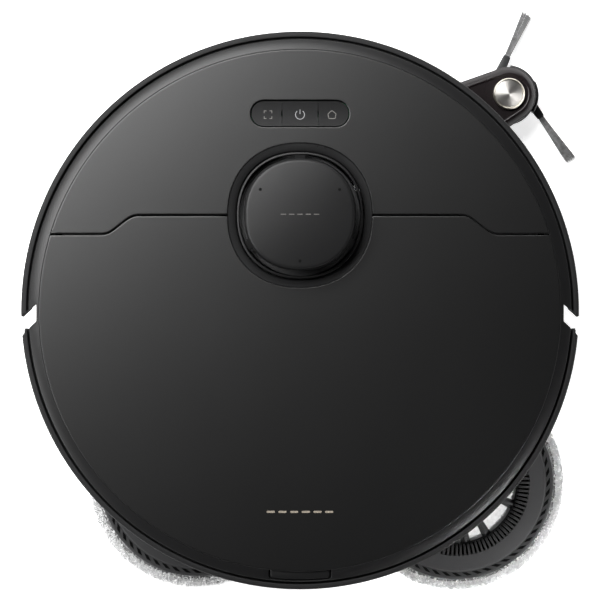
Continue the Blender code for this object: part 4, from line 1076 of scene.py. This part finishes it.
def make_holder(name, centre, body):
    floor = bottom_of(f"mop_holder_{name}")
    top = 0.0190
    cone = softened(
        [(0.0398, 0.0100), (0.0400, 0.0118), (0.0470, 0.0120), (0.0474, 0.0136, 0.0004),
         (0.0574, 0.0118, 0.0010), (0.0582, 0.0108)],
        closed=False,
        steps=5,
    )
    shape = Shape().turned([*cone, (0.0582, floor + 0.0004), (0.0398, floor + 0.0004)], centre, 192)
    # Painted shade: a near-black band on the cone's floor, so the gaps between the ribs read dark.
    painted_shade_band = [(0.0401, 0.0118), (0.0401, 0.0121), (0.0469, 0.0123), (0.0469, 0.0118)]
    shape.turned(painted_shade_band, centre, 192, slot=1)
    rim = [(0.0581, 0.0108), (0.0620, 0.0106, 0.0006), (0.0630, 0.0101, 0.0006), (0.0632, 0.0096, 0.0004),
           (0.0628, floor, 0.0004), (0.0581, floor)]
    shape.turned(softened(rim, steps=3), centre, 192)
    # The rim's slots are near-black plates laid on the rim: painted shade in place of openings.
    for slot in range(HOLDER_SLOTS):
        outline = []
        for share, radius in ((-0.50, 0.0588), (-0.02, 0.0588), (0.50, 0.0611), (0.02, 0.0611)):
            angle = math.radians((slot + share) * 360 / HOLDER_SLOTS)
            outline.append((centre[0] + radius * math.cos(angle), centre[1] + radius * math.sin(angle)))
        shape.slab([anticlockwise(outline)], 0.01085, 0.0100, 0, slot=1)
    # fine radial ribs round the cone's upper ring
    for rib in range(HOLDER_RIBS):
        angle = rib * 360 / HOLDER_RIBS
        path = [(0.0399, 0.0114), (0.0402, 0.0128), (0.0412, 0.0135), (0.0442, 0.0138), (0.0476, 0.0136)]
        sides = []
        for wide, lower in ((0.00078, 0.0014), (0.00062, 0.0)):
            sides.append([(r, wide, z - lower) for r, z in path])
            sides.append([(r, -wide, z - lower) for r, z in path])
        low_left, low_right, high_left, high_right = sides
        rows = list(zip(low_left, high_left, high_right, low_right))
        shape.join(Shape().swept(rows), turned_to(angle, (*centre, 0)))
    # middle plate with windows, long and short by turns, and the hub
    loops = [ring(centre, 0.0399, 144)]
    for index in range(HOLDER_WINDOWS):
        start = index * 360 / HOLDER_WINDOWS
        for first, last in ((4.5, 34.5), (43.0, 56.0)):
            far = arc(centre, 0.0393, start + first, start + last, 12)
            near = arc(centre, 0.0215, start + last, start + first, 8)
            round_ends = (0, 11, 12, 19)
            corners = [(x, y, 0.0008 if i in round_ends else 0) for i, (x, y) in enumerate(far + near)]
            outline = softened(corners, steps=3)
            loops.append(outline[::-1])
            shape.slab([inset(outline, 0.0002)], 0.0102, 0.0096, 0, slot=2)
    shape.slab(loops, 0.0108, floor, 0.0004, 2)
    for index in range(HOLDER_WINDOWS * 2):
        angle = index * 360 / HOLDER_WINDOWS / 2 + (0.0 if index % 2 == 0 else 9.0)
        bar = Shape().slab([box_outline(0.0180, -0.0008, 0.0397, 0.0008)], 0.0118, 0.0103, 0.0003, 2)
        shape.join(bar, turned_to(angle, (*centre, 0)))
    hub = softened(
        [(0.0059, top - 0.0070), (0.0059, top, 0.0004), (0.0164, top, 0.0010), (0.0178, 0.0112, 0.0006),
         (0.0200, 0.0108)],
        closed=False,
    )
    shape.turned([*hub, (0.0200, floor), (0.0059, floor)], centre, 96)
    finishes = [HOLDER_GREY, PAINTED_HOLE_SHADE, PAD_WHITE]
    piece(f"holder_{name}", shape, finishes, body, f"mop_holder_{name}", crease=38)


def make_pad(name, centre, body, draw):
    """The pad's cloth: a disc with a wavy edge."""
    top = top_of(f"mop_pad_{name}")
    shape = Shape()
    section = [(0.0, top - 0.0001), (0.060, top - 0.0001), (0.0630, top - 0.0004), (PAD_RADIUS, 0.0046),
               (PAD_RADIUS, 0.0028), (0.0640, 0.0014), (0.0600, 0.0010), (0.045, 0.0008), (0.030, 0.0008),
               (0.015, 0.0009), (0.0, 0.0010)]
    steps = 180
    waves = [(draw.randint(9, 40), draw.uniform(0, 6.3), draw.uniform(0.0001, 0.0004)) for _ in range(7)]
    rows = []
    for radius, z in section:
        row = []
        for k in range(steps):
            angle = 2 * math.pi * k / steps
            wave = sum(size * math.sin(n * angle + phase) for n, phase, size in waves)
            r = radius + (wave if radius > 0.062 else 0.0)
            row.append((centre[0] + r * math.cos(angle), centre[1] + r * math.sin(angle), z))
        rows.append(row)
    shape.rows(rows[:3])
    # The edge band takes the dark grey finish: painted shade between and under the loops.
    shape.rows(rows[2:6], slot=1)
    shape.rows(rows[5:])
    pad = piece(f"pad_{name}", shape, [PAD_BACK, PAD_EDGE_SHADE], body, f"mop_pad_{name}")


def make_loops(name, centre, body, draw):
    """Short bent loops round the pad's edge, and longer ones below it."""
    loops = Shape()
    for _ in range(EDGE_LOOPS):
        angle = draw.uniform(0, 2 * math.pi)
        out = draw.uniform(0.0, 1.0)
        r = 0.0640 + (FRINGE_REACH - 0.0010 - 0.0640) * out
        tall = 0.0064 - 0.0026 * out**2
        z = draw.uniform(0.0010, tall)
        heading = draw.uniform(0, 2 * math.pi)
        length = draw.uniform(0.0006, 0.0011)
        thick = draw.uniform(0.00030, 0.00046)
        bend = draw.uniform(-0.0007, 0.0007)
        x, y = swung(r, 0, angle)
        path = []
        for t in (-1.0, -0.35, 0.35, 1.0):
            u, v = swung(t * length, bend * (1 - t * t), heading)
            path.append((centre[0] + x + u, centre[1] + y + v, max(z + 0.0004 * (1 - t * t), 0.0008)))
        loops.tube(path, [thick * 0.6, thick, thick, thick * 0.6], 4)
    for _ in range(BACK_LOOPS):
        angle, r = draw.uniform(0, 2 * math.pi), 0.0635 * math.sqrt(draw.uniform(0.0, 1.0))
        heading = draw.uniform(0, 2 * math.pi)
        length = draw.uniform(0.0016, 0.0030)
        thick = draw.uniform(0.00055, 0.00080)
        x, y = swung(r, 0, angle)
        path = []
        for t in (-1.0, -0.4, 0.4, 1.0):
            u, v = swung(t * length, 0, heading)
            drop = 0.0010 if abs(t) > 0.9 else thick + 0.00005
            path.append((centre[0] + x + u, centre[1] + y + v, drop))
        loops.tube(path, [thick * 0.6, thick, thick, thick * 0.6], 4)
    piece(f"pad_loops_{name}", loops, PAD_LOOPS, body, tidy=False, crease=80)


def make_fibres(name, centre, body, draw):
    """Loose fibres that stand out round the pad's edge."""
    fibres = Shape()
    for _ in range(LOOSE_FIBRES):
        angle = draw.uniform(0, 2 * math.pi)
        z = draw.uniform(0.0010, 0.0066)
        start, reach = PAD_RADIUS - 0.0005, FRINGE_REACH + draw.uniform(-0.0022, 0.0002)
        sway = draw.gauss(0, 0.0022)
        path = []
        for t in (0.0, 0.5, 1.0):
            x, y = swung(start + (reach - start) * t, sway * t * t, angle)
            path.append((centre[0] + x, centre[1] + y, max(z + draw.gauss(0, 0.0004) * t, 0.0006)))
        fibres.tube(path, [0.00013, 0.00011, 0.00005], 3)
    piece(f"pad_fibres_{name}", fibres, PAD_LOOPS, body, tidy=False, crease=80)


def make_gearbox(node, body, finish, outline, centre, post=None):
    low, high = bottom_of("mop_gearbox_left"), top_of("mop_gearbox_left")
    shape = Shape()
    hole = ring(centre, 0.0136, 64, clockwise=True)
    mid = (low + high) / 2
    shape.slab([outline, hole], high, mid, 0.0012, 3)
    flip = Matrix.Translation((0, 0, 2 * mid)) @ Matrix.Scale(-1, 4, (0, 0, 1))
    shape.join(Shape().slab([outline, hole], high, mid, 0.0016, 4), flip)
    if post:
        x, y, radius = post
        shape.pin((x, y), radius, top_of(node), high - 0.001, 40)
    for x, y in screw_places(outline, centre):
        screw_head(shape, (x, y, low), 0.0024, down=True, slot=1)
    piece(node + "_case", shape, [finish, SCREW_STEEL, SCREW_RECESS_SHADE], body, node)


def screw_places(outline, centre):
    """Three places inside a gearbox's outline, round its socket."""
    found = []
    for angle in (60, 180, 300):
        x, y = arc(centre, 0.0157, angle, angle, 1)[0]
        if inside(np.array([[x, y]]), [outline])[0]:
            found.append((x, y))
    return found


def make_mops():
    arm_pivot = (0.093, -0.045)
    for name, centre, body, seed in (
        ("left", MOP_LEFT, "left_mop", 5),
        ("right", MOP_RIGHT, "right_mop", 9),
    ):
        make_holder(name, centre, body)
        draw = random.Random(seed)
        for make in (make_pad, make_loops, make_fibres):
            make(name, centre, body, draw)
        spindle = f"mop_spindle_{name}"
        shape = Shape()
        outline = [(0.0, top_of(spindle)), (0.0050, top_of(spindle), 0.0004),
                   (0.0055, top_of(spindle) - 0.001), (0.0055, bottom_of(spindle)), (0.0, bottom_of(spindle))]
        shape.lathe(outline, centre, 48)
        piece(f"spindle_{name}", shape, STEEL, body, spindle)
        sleeve = f"mop_sleeve_{name}"
        profile = softened(
            [(0.0130, top_of(sleeve)), (0.0130, 0.0240, 0.0010), (0.0115, bottom_of(sleeve), 0.0006),
             (0.0061, bottom_of(sleeve), 0.0004), (0.0061, top_of(sleeve))]
        )
        shape = Shape().turned(profile, centre, 64)
        piece(f"sleeve_{name}", shape, GREY_PLASTIC, f"{name}_mop_lift", sleeve)
    outline = anticlockwise(hull((MOP_LEFT, 0.0175), ((MOP_LEFT[0] + 0.006, -0.064), 0.014)))
    make_gearbox("mop_gearbox_left", "root", CHASSIS_BLACK, outline, MOP_LEFT)
    outline = anticlockwise(hull((MOP_RIGHT, 0.0175), (arm_pivot, 0.0145)))
    make_gearbox("mop_arm_right", "mop_arm", CHASSIS_BLACK, outline, MOP_RIGHT, (*arm_pivot, 0.0060))


# ---------------------------------------------------------------- wheels
def across(node):
    """Turns a shape made about Z, middle at the origin, to lie across the robot at a node's middle."""
    place = middle(node)
    place = Vector((place.x - DISC.x, place.y - DISC.y, place.z))
    return turned_to(90, place, "Y")


def make_tyre(name, place, radius, half):
    """A rubber tyre with two rows of slanted lugs."""
    inner = 0.0295
    outer = radius - 0.0016
    profile = softened(
        [(inner, -half, 0.0004), (outer, -half, 0.0012), (outer, half, 0.0012), (inner, half, 0.0004)],
        steps=4,
    )
    tyre = Shape().turned(profile, steps=160)
    stand_up = Matrix(((1, 0, 0, 0), (0, 0, 1, 0), (0, 1, 0, 0), (0, 0, 0, 1)))
    lugs = 36
    for row, lean in ((-1, 1), (1, -1)):
        for lug in range(lugs):
            angle = (lug + (0.5 if row > 0 else 0.0)) * 360 / lugs
            outline = softened(
                [(-0.0018, 0.0012, 0.0004), (0.0018, 0.0012, 0.0004),
                 (0.0018 + lean * 0.0014, half - 0.0008, 0.0006),
                 (-0.0018 + lean * 0.0014, half - 0.0008, 0.0006)],
                steps=2,
            )
            outline = [(x, y * row) for x, y in outline]
            outline = outline if row > 0 else outline[::-1]
            block = Shape().slab([outline], radius, outer - 0.0006, 0.0003, 2)
            tyre.join(block, turned_to(angle) @ stand_up)
    tyre.moved(place)
    piece(f"{name}_tread", tyre, TYRE_BLACK, f"{name}_wheel", f"{name}_tyre")


def make_wheel_hub(name, side, place, half):
    """A hub with five spokes, a screw and its stub of axle."""
    hub_low, hub_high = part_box(f"{name}_wheel_hub")
    reach = half - 0.001
    face = [(0.0, reach - 0.0004), (0.0066, reach - 0.0004, 0.0006), (0.0072, reach - 0.0034, 0.0006),
            (0.0255, reach - 0.0044, 0.0008), (0.0268, reach, 0.0006), (0.0291, reach, 0.0004),
            (0.0291, -reach, 0.0004), (0.0, -reach)]
    hub = Shape().lathe(face, steps=128)
    for spoke in range(5):
        bar = softened([(0.0060, -0.0022, 0.0005), (0.0262, -0.0034, 0.0008), (0.0262, 0.0034, 0.0008),
                        (0.0060, 0.0022, 0.0005)], steps=3)
        hub.join(Shape().slab([bar], reach - 0.0014, reach - 0.0050, 0.0004, 3), turned_to(spoke * 72 + 18))
    screw_head(hub, (0, 0, reach - 0.0004), 0.0030, slot=1)
    axle = abs((hub_low.x if side > 0 else hub_high.x) - middle(f"{name}_tyre").x)
    hub.turned([(0.0040, -reach + 0.001), (0.0040, -axle), (0.0, -axle)], steps=24, closed=False)
    hub.moved(place @ turned_to(0 if side > 0 else 180, axis="X"))
    finishes = [CHASSIS_BLACK, SCREW_STEEL, SCREW_RECESS_SHADE]
    piece(f"{name}_hub", hub, finishes, f"{name}_wheel", f"{name}_wheel_hub")


def make_wheel_arm(name, side):
    """The suspension arm with a raised rim on its face and its pivot pin."""
    centre_y, centre_z = middle(f"{name}_tyre").y - DISC.y, middle(f"{name}_tyre").z
    outline = anticlockwise(hull(((centre_y, centre_z), 0.0140), ((0.048, 0.036), 0.0080), count=72))
    bore = ring((centre_y, centre_z), 0.0043, 32, clockwise=True)
    xs = sorted(side * x for x in (0.1052, 0.1158))
    arm = Shape().slab([outline, bore], xs[1], xs[0], 0.0010, 3, under=0.0010)
    rib = inset(outline, 0.0035).tolist()
    face_x = xs[0] if side > 0 else xs[1]
    arm.slab([rib, inset(outline, 0.0050).tolist()[::-1]], face_x + 0.0004, face_x - 0.0004, 0.0002, 2)
    swap = Matrix(((0, 0, 1, 0), (1, 0, 0, 0), (0, 1, 0, 0), (0, 0, 0, 1)))
    arm.moved(swap)
    pin = sorted(side * x for x in (0.1012, 0.1200))
    arm.tube([(pin[0], 0.048, 0.036), (pin[1], 0.048, 0.036)], 0.0030, 24)
    piece(f"{name}_arm", arm, GREY_PLASTIC, f"{name}_suspension", f"{name}_wheel_arm")


def make_wheel_spring(name):
    low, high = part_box(f"{name}_wheel_spring")
    x, y = middle(f"{name}_wheel_spring").x - DISC.x, 0.014
    turns, per_turn, wire, coil = 5.5, 20, 0.00075, 0.0042  # coil is the radius of the wire's middle
    path = []
    for step in range(int(turns * per_turn) + 1):
        share = step / (turns * per_turn)
        angle = 2 * math.pi * step / per_turn
        z = low.z + wire + (high.z - low.z - 2 * wire) * share
        path.append((x + coil * math.cos(angle), y + coil * math.sin(angle), z))
    spring = Shape().tube(path, wire, 8)
    piece(f"{name}_spring", spring, STEEL, "root", f"{name}_wheel_spring")


def make_wheel(side):
    name = "right" if side > 0 else "left"
    low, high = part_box(f"{name}_tyre")
    radius, half = (high.z - low.z) / 2, (high.x - low.x) / 2
    place = across(f"{name}_tyre")
    make_tyre(name, place, radius, half)
    make_wheel_hub(name, side, place, half)
    make_wheel_arm(name, side)
    make_wheel_spring(name)


# ---------------------------------------------------------------- roller, guard and caster
def make_roller():
    """Rubber fins that twist from the middle to both ends, with fine lips."""
    low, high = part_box("main_roller")
    centre = middle("main_roller")
    radius, core, half, fins = 0.022, 0.0150, 0.086, 6
    section = []
    for fin in range(fins):
        base = fin * 360 / fins
        corner = [(base - 17, core), (base - 9, core + 0.0004), (base - 4.4, core + 0.0030),
                  (base - 2.6, radius - 0.0010), (base - 1.6, radius), (base + 1.6, radius),
                  (base + 2.6, radius - 0.0010), (base + 4.4, core + 0.0030), (base + 9, core + 0.0004),
                  (base + 17, core), (base + 26, core), (base + 30, core + 0.0012), (base + 34, core)]
        section += [arc((0, 0), r, a, a, 1)[0] for a, r in corner]
    steps, twist = 72, 55
    rows = []
    for step in range(steps + 1):
        along = -1 + 2 * step / steps
        turn = math.radians(twist * math.sqrt(along * along + 0.0016))
        c, s = math.cos(turn), math.sin(turn)
        rows.append([(along * half, y * c - z * s, y * s + z * c) for y, z in section])
    roller = Shape().swept(rows, flip=True)
    reach = (high.x - low.x) / 2
    place = Matrix.Translation((0, centre.y - DISC.y, centre.z))
    for sign in (-1, 1):
        collar = [(0.0, half), (core - 0.001, half, 0.0006), (core - 0.001, half + 0.0012, 0.0006),
                  (0.0040, half + 0.0014), (0.0040, reach, 0.0004), (0.0, reach)]
        roller.join(Shape().lathe(collar, steps=48, slot=1), turned_to(sign * 90, axis="Y"))
    roller.moved(place)
    finishes = [ROLLER_GREY, CHASSIS_BLACK]
    piece("roller", roller, finishes, "main_roller", "main_roller", crease=50)


def make_guard():
    """The frame round the roller, with two ridged tabs that release it."""
    low, high = bottom_of("roller_guard"), top_of("roller_guard")
    x0, y0, y1 = 0.0960, 0.0015, 0.0605
    outline = box_outline(-x0, y0, x0, y1, 0.003)
    hole = box_outline(-0.088, 0.0065, 0.088, 0.0555, 0.002)
    guard = Shape().slab([outline, hole[::-1]], high, low, 0.0002, 1, under=0.0006)
    for x in (-0.062, 0.062):
        tab = box_outline(x - 0.010, 0.0566, x + 0.010, 0.0598, 0.001)
        guard.slab([tab], low + 0.0004, low - 0.0009, 0.0001, 1, slot=1, under=0.0003)
        for step in range(5):
            line = x - 0.006 + step * 0.003
            bar = box_outline(line - 0.0005, 0.0572, line + 0.0005, 0.0592)
            guard.slab([bar], low - 0.0007, low - 0.0012, 0, slot=1)
    piece("guard_frame", guard, [GREY_PLASTIC, ACCENT_GREY], "root", "roller_guard")


def make_caster():
    place = across("caster_wheel")
    low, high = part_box("caster_wheel")
    radius, half = (high.z - low.z) / 2, (high.x - low.x) / 2
    tread = softened(
        [(0.0105, -half + 0.0006, 0.0003), (radius - 0.0006, -half, 0.0016), (radius, 0.0, 0.012),
         (radius - 0.0006, half, 0.0016), (0.0105, half - 0.0006, 0.0003)],
        steps=5,
    )
    wheel = Shape().turned(tread, steps=96)
    core = softened(
        [(0.0019, -half + 0.0010), (0.0100, -half + 0.0010, 0.0006), (0.0106, -half + 0.0016),
         (0.0106, half - 0.0016), (0.0100, half - 0.0010, 0.0006), (0.0019, half - 0.0010)]
    )
    wheel.turned(core, steps=64, slot=1)
    wheel.moved(place)
    piece("caster_tread", wheel, [ROLLER_GREY, ACCENT_GREY], "caster_wheel", "caster_wheel")
    axle = Shape().tube([(0, 0, -0.0170), (0, 0, -0.0165), (0, 0, 0.0165), (0, 0, 0.0170)],
                        [0.0011, 0.0015, 0.0015, 0.0011], 24)
    piece("caster_pin", axle.moved(place), STEEL, "caster_swivel", "caster_axle")
    x, y = 0.0, 0.138
    profile = [(0.0, 0.0425), (0.0040, 0.0425, 0.0004), (0.0040, 0.0335), (0.0190, 0.0335, 0.0006),
               (0.0205, 0.0320, 0.0008), (0.0205, 0.0125, 0.0008), (0.0190, 0.0110, 0.0006), (0.0, 0.0110)]
    fork = Shape().lathe(profile, (x, y), 96)
    hole = Shape().tube([(-0.03, 0.132, 0.015), (0.03, 0.132, 0.015)], 0.0019, 24)
    cuts = [box_cutter((-0.0073, y - 0.030, 0.0), (0.0073, y + 0.0125, 0.0312)), cutter(hole)]
    piece("caster_block", fork, CHASSIS_BLACK, "caster_swivel", "caster_fork", cuts)


# ---------------------------------------------------------------- underside, sensors and contacts
def make_underside():
    """Screws, sensor bezels, a slatted plate and raised pads on the chassis floor."""
    low = bottom_of("chassis")
    shape = Shape()
    for x, y in ((-0.140, 0.060), (-0.100, 0.115), (-0.052, 0.146), (0.048, 0.147), (-0.145, -0.030),
                 (0.1530, -0.020), (0.1530, 0.045), (-0.1530, 0.030), (-0.085, -0.032), (0.085, -0.030)):
        if math.hypot(x, y) < 0.160:
            screw_head(shape, (x, y, low), 0.0032, down=True)
    for x, y in ((-0.124, 0.066), (-0.040, 0.148), (0.035, 0.148)):
        outer = box_outline(x - 0.0125, y - 0.0075, x + 0.0125, y + 0.0075, 0.003)
        hole = box_outline(x - 0.0096, y - 0.0046, x + 0.0096, y + 0.0046, 0.001)
        shape.slab([outer, hole[::-1]], low + 0.0005, low - 0.0007, 0.0001, 1, slot=2, under=0.0004)
    plate = softened([(-0.083, 0.066, 0.006), (-0.012, 0.066, 0.006), (-0.020, 0.105, 0.006),
                      (-0.083, 0.105, 0.006)])
    shape.slab([plate], low + 0.0005, low - 0.0008, 0.0001, 1, slot=2, under=0.0006)
    for row in range(9):
        y = 0.071 + row * 0.0036
        bar = pill((-0.052, y), (0.050, 0.0014), count=6)
        shape.slab([bar], low - 0.0006, low - 0.0014, 0, slot=2, under=0.0003)
    for x in (-0.070, 0.0, 0.070):
        pad = pill((x, -0.0225), (0.030, 0.0030), count=8)
        shape.slab([pad], low + 0.0005, low - 0.0006, 0.0001, 1, slot=2, under=0.0003)
    finishes = [SCREW_STEEL, SCREW_RECESS_SHADE, CHASSIS_BLACK]
    piece("underside_fittings", shape, finishes, "root")


def make_sensors():
    """Cliff windows with two lenses each, and the two charging contacts."""
    for name in ("side", "left", "right"):
        node = f"cliff_sensor_{name}"
        low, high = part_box(node)
        x0, y0, x1, y1 = low.x - DISC.x, low.y - DISC.y, high.x - DISC.x, high.y - DISC.y
        outline = box_outline(x0, y0, x1, y1, 0.001)
        shape = Shape().slab([outline], high.z, low.z + 0.0003, 0.0002, 1, under=0.0004)
        mid = (y0 + y1) / 2
        for x in (x0 + 0.0045, x1 - 0.0045):
            dome = [(0.0022 * math.sin(t), -0.0009 * math.cos(t)) for t in np.linspace(0, math.pi / 2, 7)]
            dome = Shape().turned([*dome, (0.0022, 0.001), (0, 0.001)], steps=32, slot=1, closed=False)
            shape.join(dome, Matrix.Translation((x, mid, low.z + 0.0010)))
        piece(f"cliff_window_{name}", shape, [WINDOW_BLACK, LENS_CLEAR], "root", node)
    for side in ("left", "right"):
        node = f"charging_contact_{side}"
        low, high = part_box(node)
        x = middle(node).x - DISC.x
        y0, y1 = low.y - DISC.y, high.y - DISC.y
        half, z = (high.x - low.x) / 2, (low.z + high.z) / 2
        shape = Shape().slab([box_outline(-half, -0.0040, half, 0.0040, 0.0016)], y1 - y0, 0.0, 0.0006, 4)
        shape.moved(turned_to(90, (x, y1, z), "X"))
        piece(f"contact_{side}", shape, GOLD, "root", node)


EXHAUST_ANGLES = (206, 318)
EXHAUST_SLOTS = 16
EXHAUST_Z = 0.0575


def make_window():
    """The glossy infrared band in the bumper, and exhaust slots on the rear wall drawn as near-black inlays
    of painted shade.
    """
    low, high = bottom_of("sensor_window"), top_of("sensor_window")
    profile = softened(
        [(0.1749, high, 0.0004), (0.1749, low, 0.0004), (0.1724, low), (0.1724, high)], steps=3
    )
    rows = []
    for angle in np.radians(np.linspace(*WINDOW_ANGLES, 64)):
        rows.append([(r * math.cos(angle), r * math.sin(angle), z) for r, z in profile])
    band = Shape().swept(rows)
    piece("infrared_band", band, WINDOW_BLACK, "bumper", "sensor_window")
    inlay = Shape()
    # Each slot is a near-black pill set into the wall: painted shade in place of an opening.
    for index in range(EXHAUST_SLOTS):
        for start_angle in EXHAUST_ANGLES:
            angle = math.radians(start_angle + index)
            c, s = math.cos(angle), math.sin(angle)
            bar = Shape().slab([pill((0, 0), (0.0150, 0.0014), count=6)], 0.00010, -0.0006, 0.0)
            basis = Matrix(((0, -s, c, 0), (0, c, s, 0), (1, 0, 0, 0), (0, 0, 0, 1)))
            inlay.join(bar, Matrix.Translation((BODY_RADIUS * c, BODY_RADIUS * s, EXHAUST_Z)) @ basis)
    piece("exhaust_slots", inlay, PAINTED_HOLE_SHADE, "root")


def finish_inner_nodes():
    """Finishes for the CAD solids that stay as they are, deep inside or under the robot."""
    finishes = {
        "chassis": CHASSIS_BLACK,
        "camera_module": LIDAR_DARK,
        "button_board": BOARD_GREEN,
        "main_board": BOARD_GREEN,
        "battery_pack": BATTERY_BLUE,
        "water_tank": SMOKE_PLASTIC,
        "water_pump": GREY_PLASTIC,
        "suction_fan": GREY_PLASTIC,
        "roller_motor": STEEL,
        "side_arm_motor": GREY_PLASTIC,
        "dust_box": SMOKE_PLASTIC,
        "dust_box_lid": GREY_PLASTIC,
        "dust_filter": FILTER_PAPER,
    }
    for node, finish in finishes.items():
        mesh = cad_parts[node].data
        if not mesh.materials:
            mesh.materials.append(finish)
        for index in range(len(mesh.materials)):
            mesh.materials[index] = finish


# ---------------------------------------------------------------- camera, light and floor
def see_through_from_below(finish):
    """The floor shows only its upper face, so that the robot can be seen from underneath."""
    tree = finish.tree
    output = tree.nodes["Material Output"]
    clear = finish.put("ShaderNodeBsdfTransparent").outputs[0]
    back = finish.put("ShaderNodeNewGeometry").outputs["Backfacing"]
    mix = finish.put("ShaderNodeMixShader", {0: back, 1: finish.shader.outputs[0], 2: clear})
    tree.links.new(mix.outputs[0], output.inputs["Surface"])


LENS_HEIGHT = 1.60
VIEW_WIDTH = 0.3746
SENSOR_WIDTH = 36.0
CAMERA_Y = 0.00655
FLOOR_Z = -0.0004

# Name, place, size, watts, aim and beam width in degrees of each rectangular lamp
LAMPS = (
    ("key_softbox", (-0.37, 0.41, 0.92), (1.00, 0.42), 20.5, (-0.05, 0.05, 0.08), 180),
    ("left_strip", (-1.5, -0.5, 0.5), (0.6, 1.4), 17.0, (0, 0, 0.05), 180),
    ("mop_fill", (0.76, -0.80, 0.62), (0.14, 0.14), 0.14, (0.135, -0.15, 0.0), 14),
    ("right_strip", (1.9, -0.4, 0.45), (0.4, 1.6), 3.0, (0, 0, 0.05), 180),
    ("rear_strip", (0.5, -1.9, 0.45), (1.6, 0.4), 4.0, (0, 0, 0.05), 180),
    ("front_strip", (0.2, 2.0, 0.8), (1.6, 0.6), 12.0, (0, 0, 0.05), 180),
)


def make_camera(scene):
    data = bpy.data.cameras.new("overhead_camera")
    data.sensor_width = SENSOR_WIDTH
    data.lens = SENSOR_WIDTH * LENS_HEIGHT / VIEW_WIDTH
    data.clip_start, data.clip_end = 0.05, 20.0
    camera = bpy.data.objects.new("overhead_camera", data)
    camera.location = (DISC.x, DISC.y + CAMERA_Y, DECK_TOP + LENS_HEIGHT)
    scene.collection.objects.link(camera)
    scene.camera = camera


def make_floor(scene):
    mesh = bpy.data.meshes.new("studio_floor")
    bm = bmesh.new()
    bmesh.ops.create_grid(bm, x_segments=12, y_segments=12, size=3.0)
    bm.to_mesh(mesh)
    bm.free()
    finish = Finish("studio_floor", (0.90, 0.90, 0.90), 0.75, Emission_Strength=0.70).tint(3.0, 0.01)
    finish.shader.inputs["Emission Color"].default_value = (1.0, 1.0, 1.0, 1.0)
    see_through_from_below(finish)
    mesh.materials.append(finish.material)
    floor = bpy.data.objects.new("studio_floor", mesh)
    floor.location.z = FLOOR_Z
    scene.collection.objects.link(floor)


def make_lamps(scene):
    for name, place, size, power, aim, beam in LAMPS:
        light = bpy.data.lights.new(name, "AREA")
        light.shape = "RECTANGLE"
        light.size, light.size_y = size
        light.energy = power
        light.spread = math.radians(beam)
        lamp = bpy.data.objects.new(name, light)
        lamp.location = place
        lamp.rotation_euler = (Vector(aim) - Vector(place)).to_track_quat("-Z", "Y").to_euler()
        scene.collection.objects.link(lamp)


def make_world(scene):
    """Pale at the horizon, dark overhead, and brighter towards the key light."""
    world = bpy.data.worlds.new("studio")
    world.use_nodes = True
    scene.world = world
    tree = world.node_tree
    heading = put(tree, "ShaderNodeTexCoord").outputs["Generated"]
    split = put(tree, "ShaderNodeSeparateXYZ", {0: heading})
    height = put(tree, "ShaderNodeValToRGB", {"Fac": split.outputs["Z"]})
    low, high = height.color_ramp.elements
    low.position, low.color = 0.25, (0.62, 0.62, 0.63, 1)
    high.position, high.color = 0.80, (0.010, 0.010, 0.0105, 1)
    key_side = (-0.66, 0.66, 0.0)
    lean = put(tree, "ShaderNodeVectorMath", {0: heading, 1: key_side}, operation="DOT_PRODUCT")
    spread = {"From Min": -0.7, "From Max": 0.8, "To Min": 0.15, "To Max": 1.6}
    side = put(tree, "ShaderNodeMapRange", {"Value": lean.outputs["Value"], **spread})
    inputs = {0: height.outputs["Color"], "Scale": side.outputs["Result"]}
    both = put(tree, "ShaderNodeVectorMath", inputs, operation="SCALE")
    tree.links.new(both.outputs["Vector"], tree.nodes["Background"].inputs["Color"])
    tree.nodes["Background"].inputs["Strength"].default_value = 1.0


def make_stage():
    scene = bpy.context.scene
    scene.view_settings.view_transform = "Standard"
    scene.view_settings.look = "None"
    make_camera(scene)
    make_floor(scene)
    make_lamps(scene)
    make_world(scene)


make_top()
make_ring()
make_wall()
make_turret_cover()
make_turret_well()
make_lidar()
make_buttons()
make_lid_mark()
make_side_arm()
make_brush_cap()
make_brush()
make_bristles()
make_mops()
for wheel_side in (-1, 1):
    make_wheel(wheel_side)
make_roller()
make_guard()
make_caster()
make_underside()
make_sensors()
make_window()
finish_inner_nodes()
make_stage()
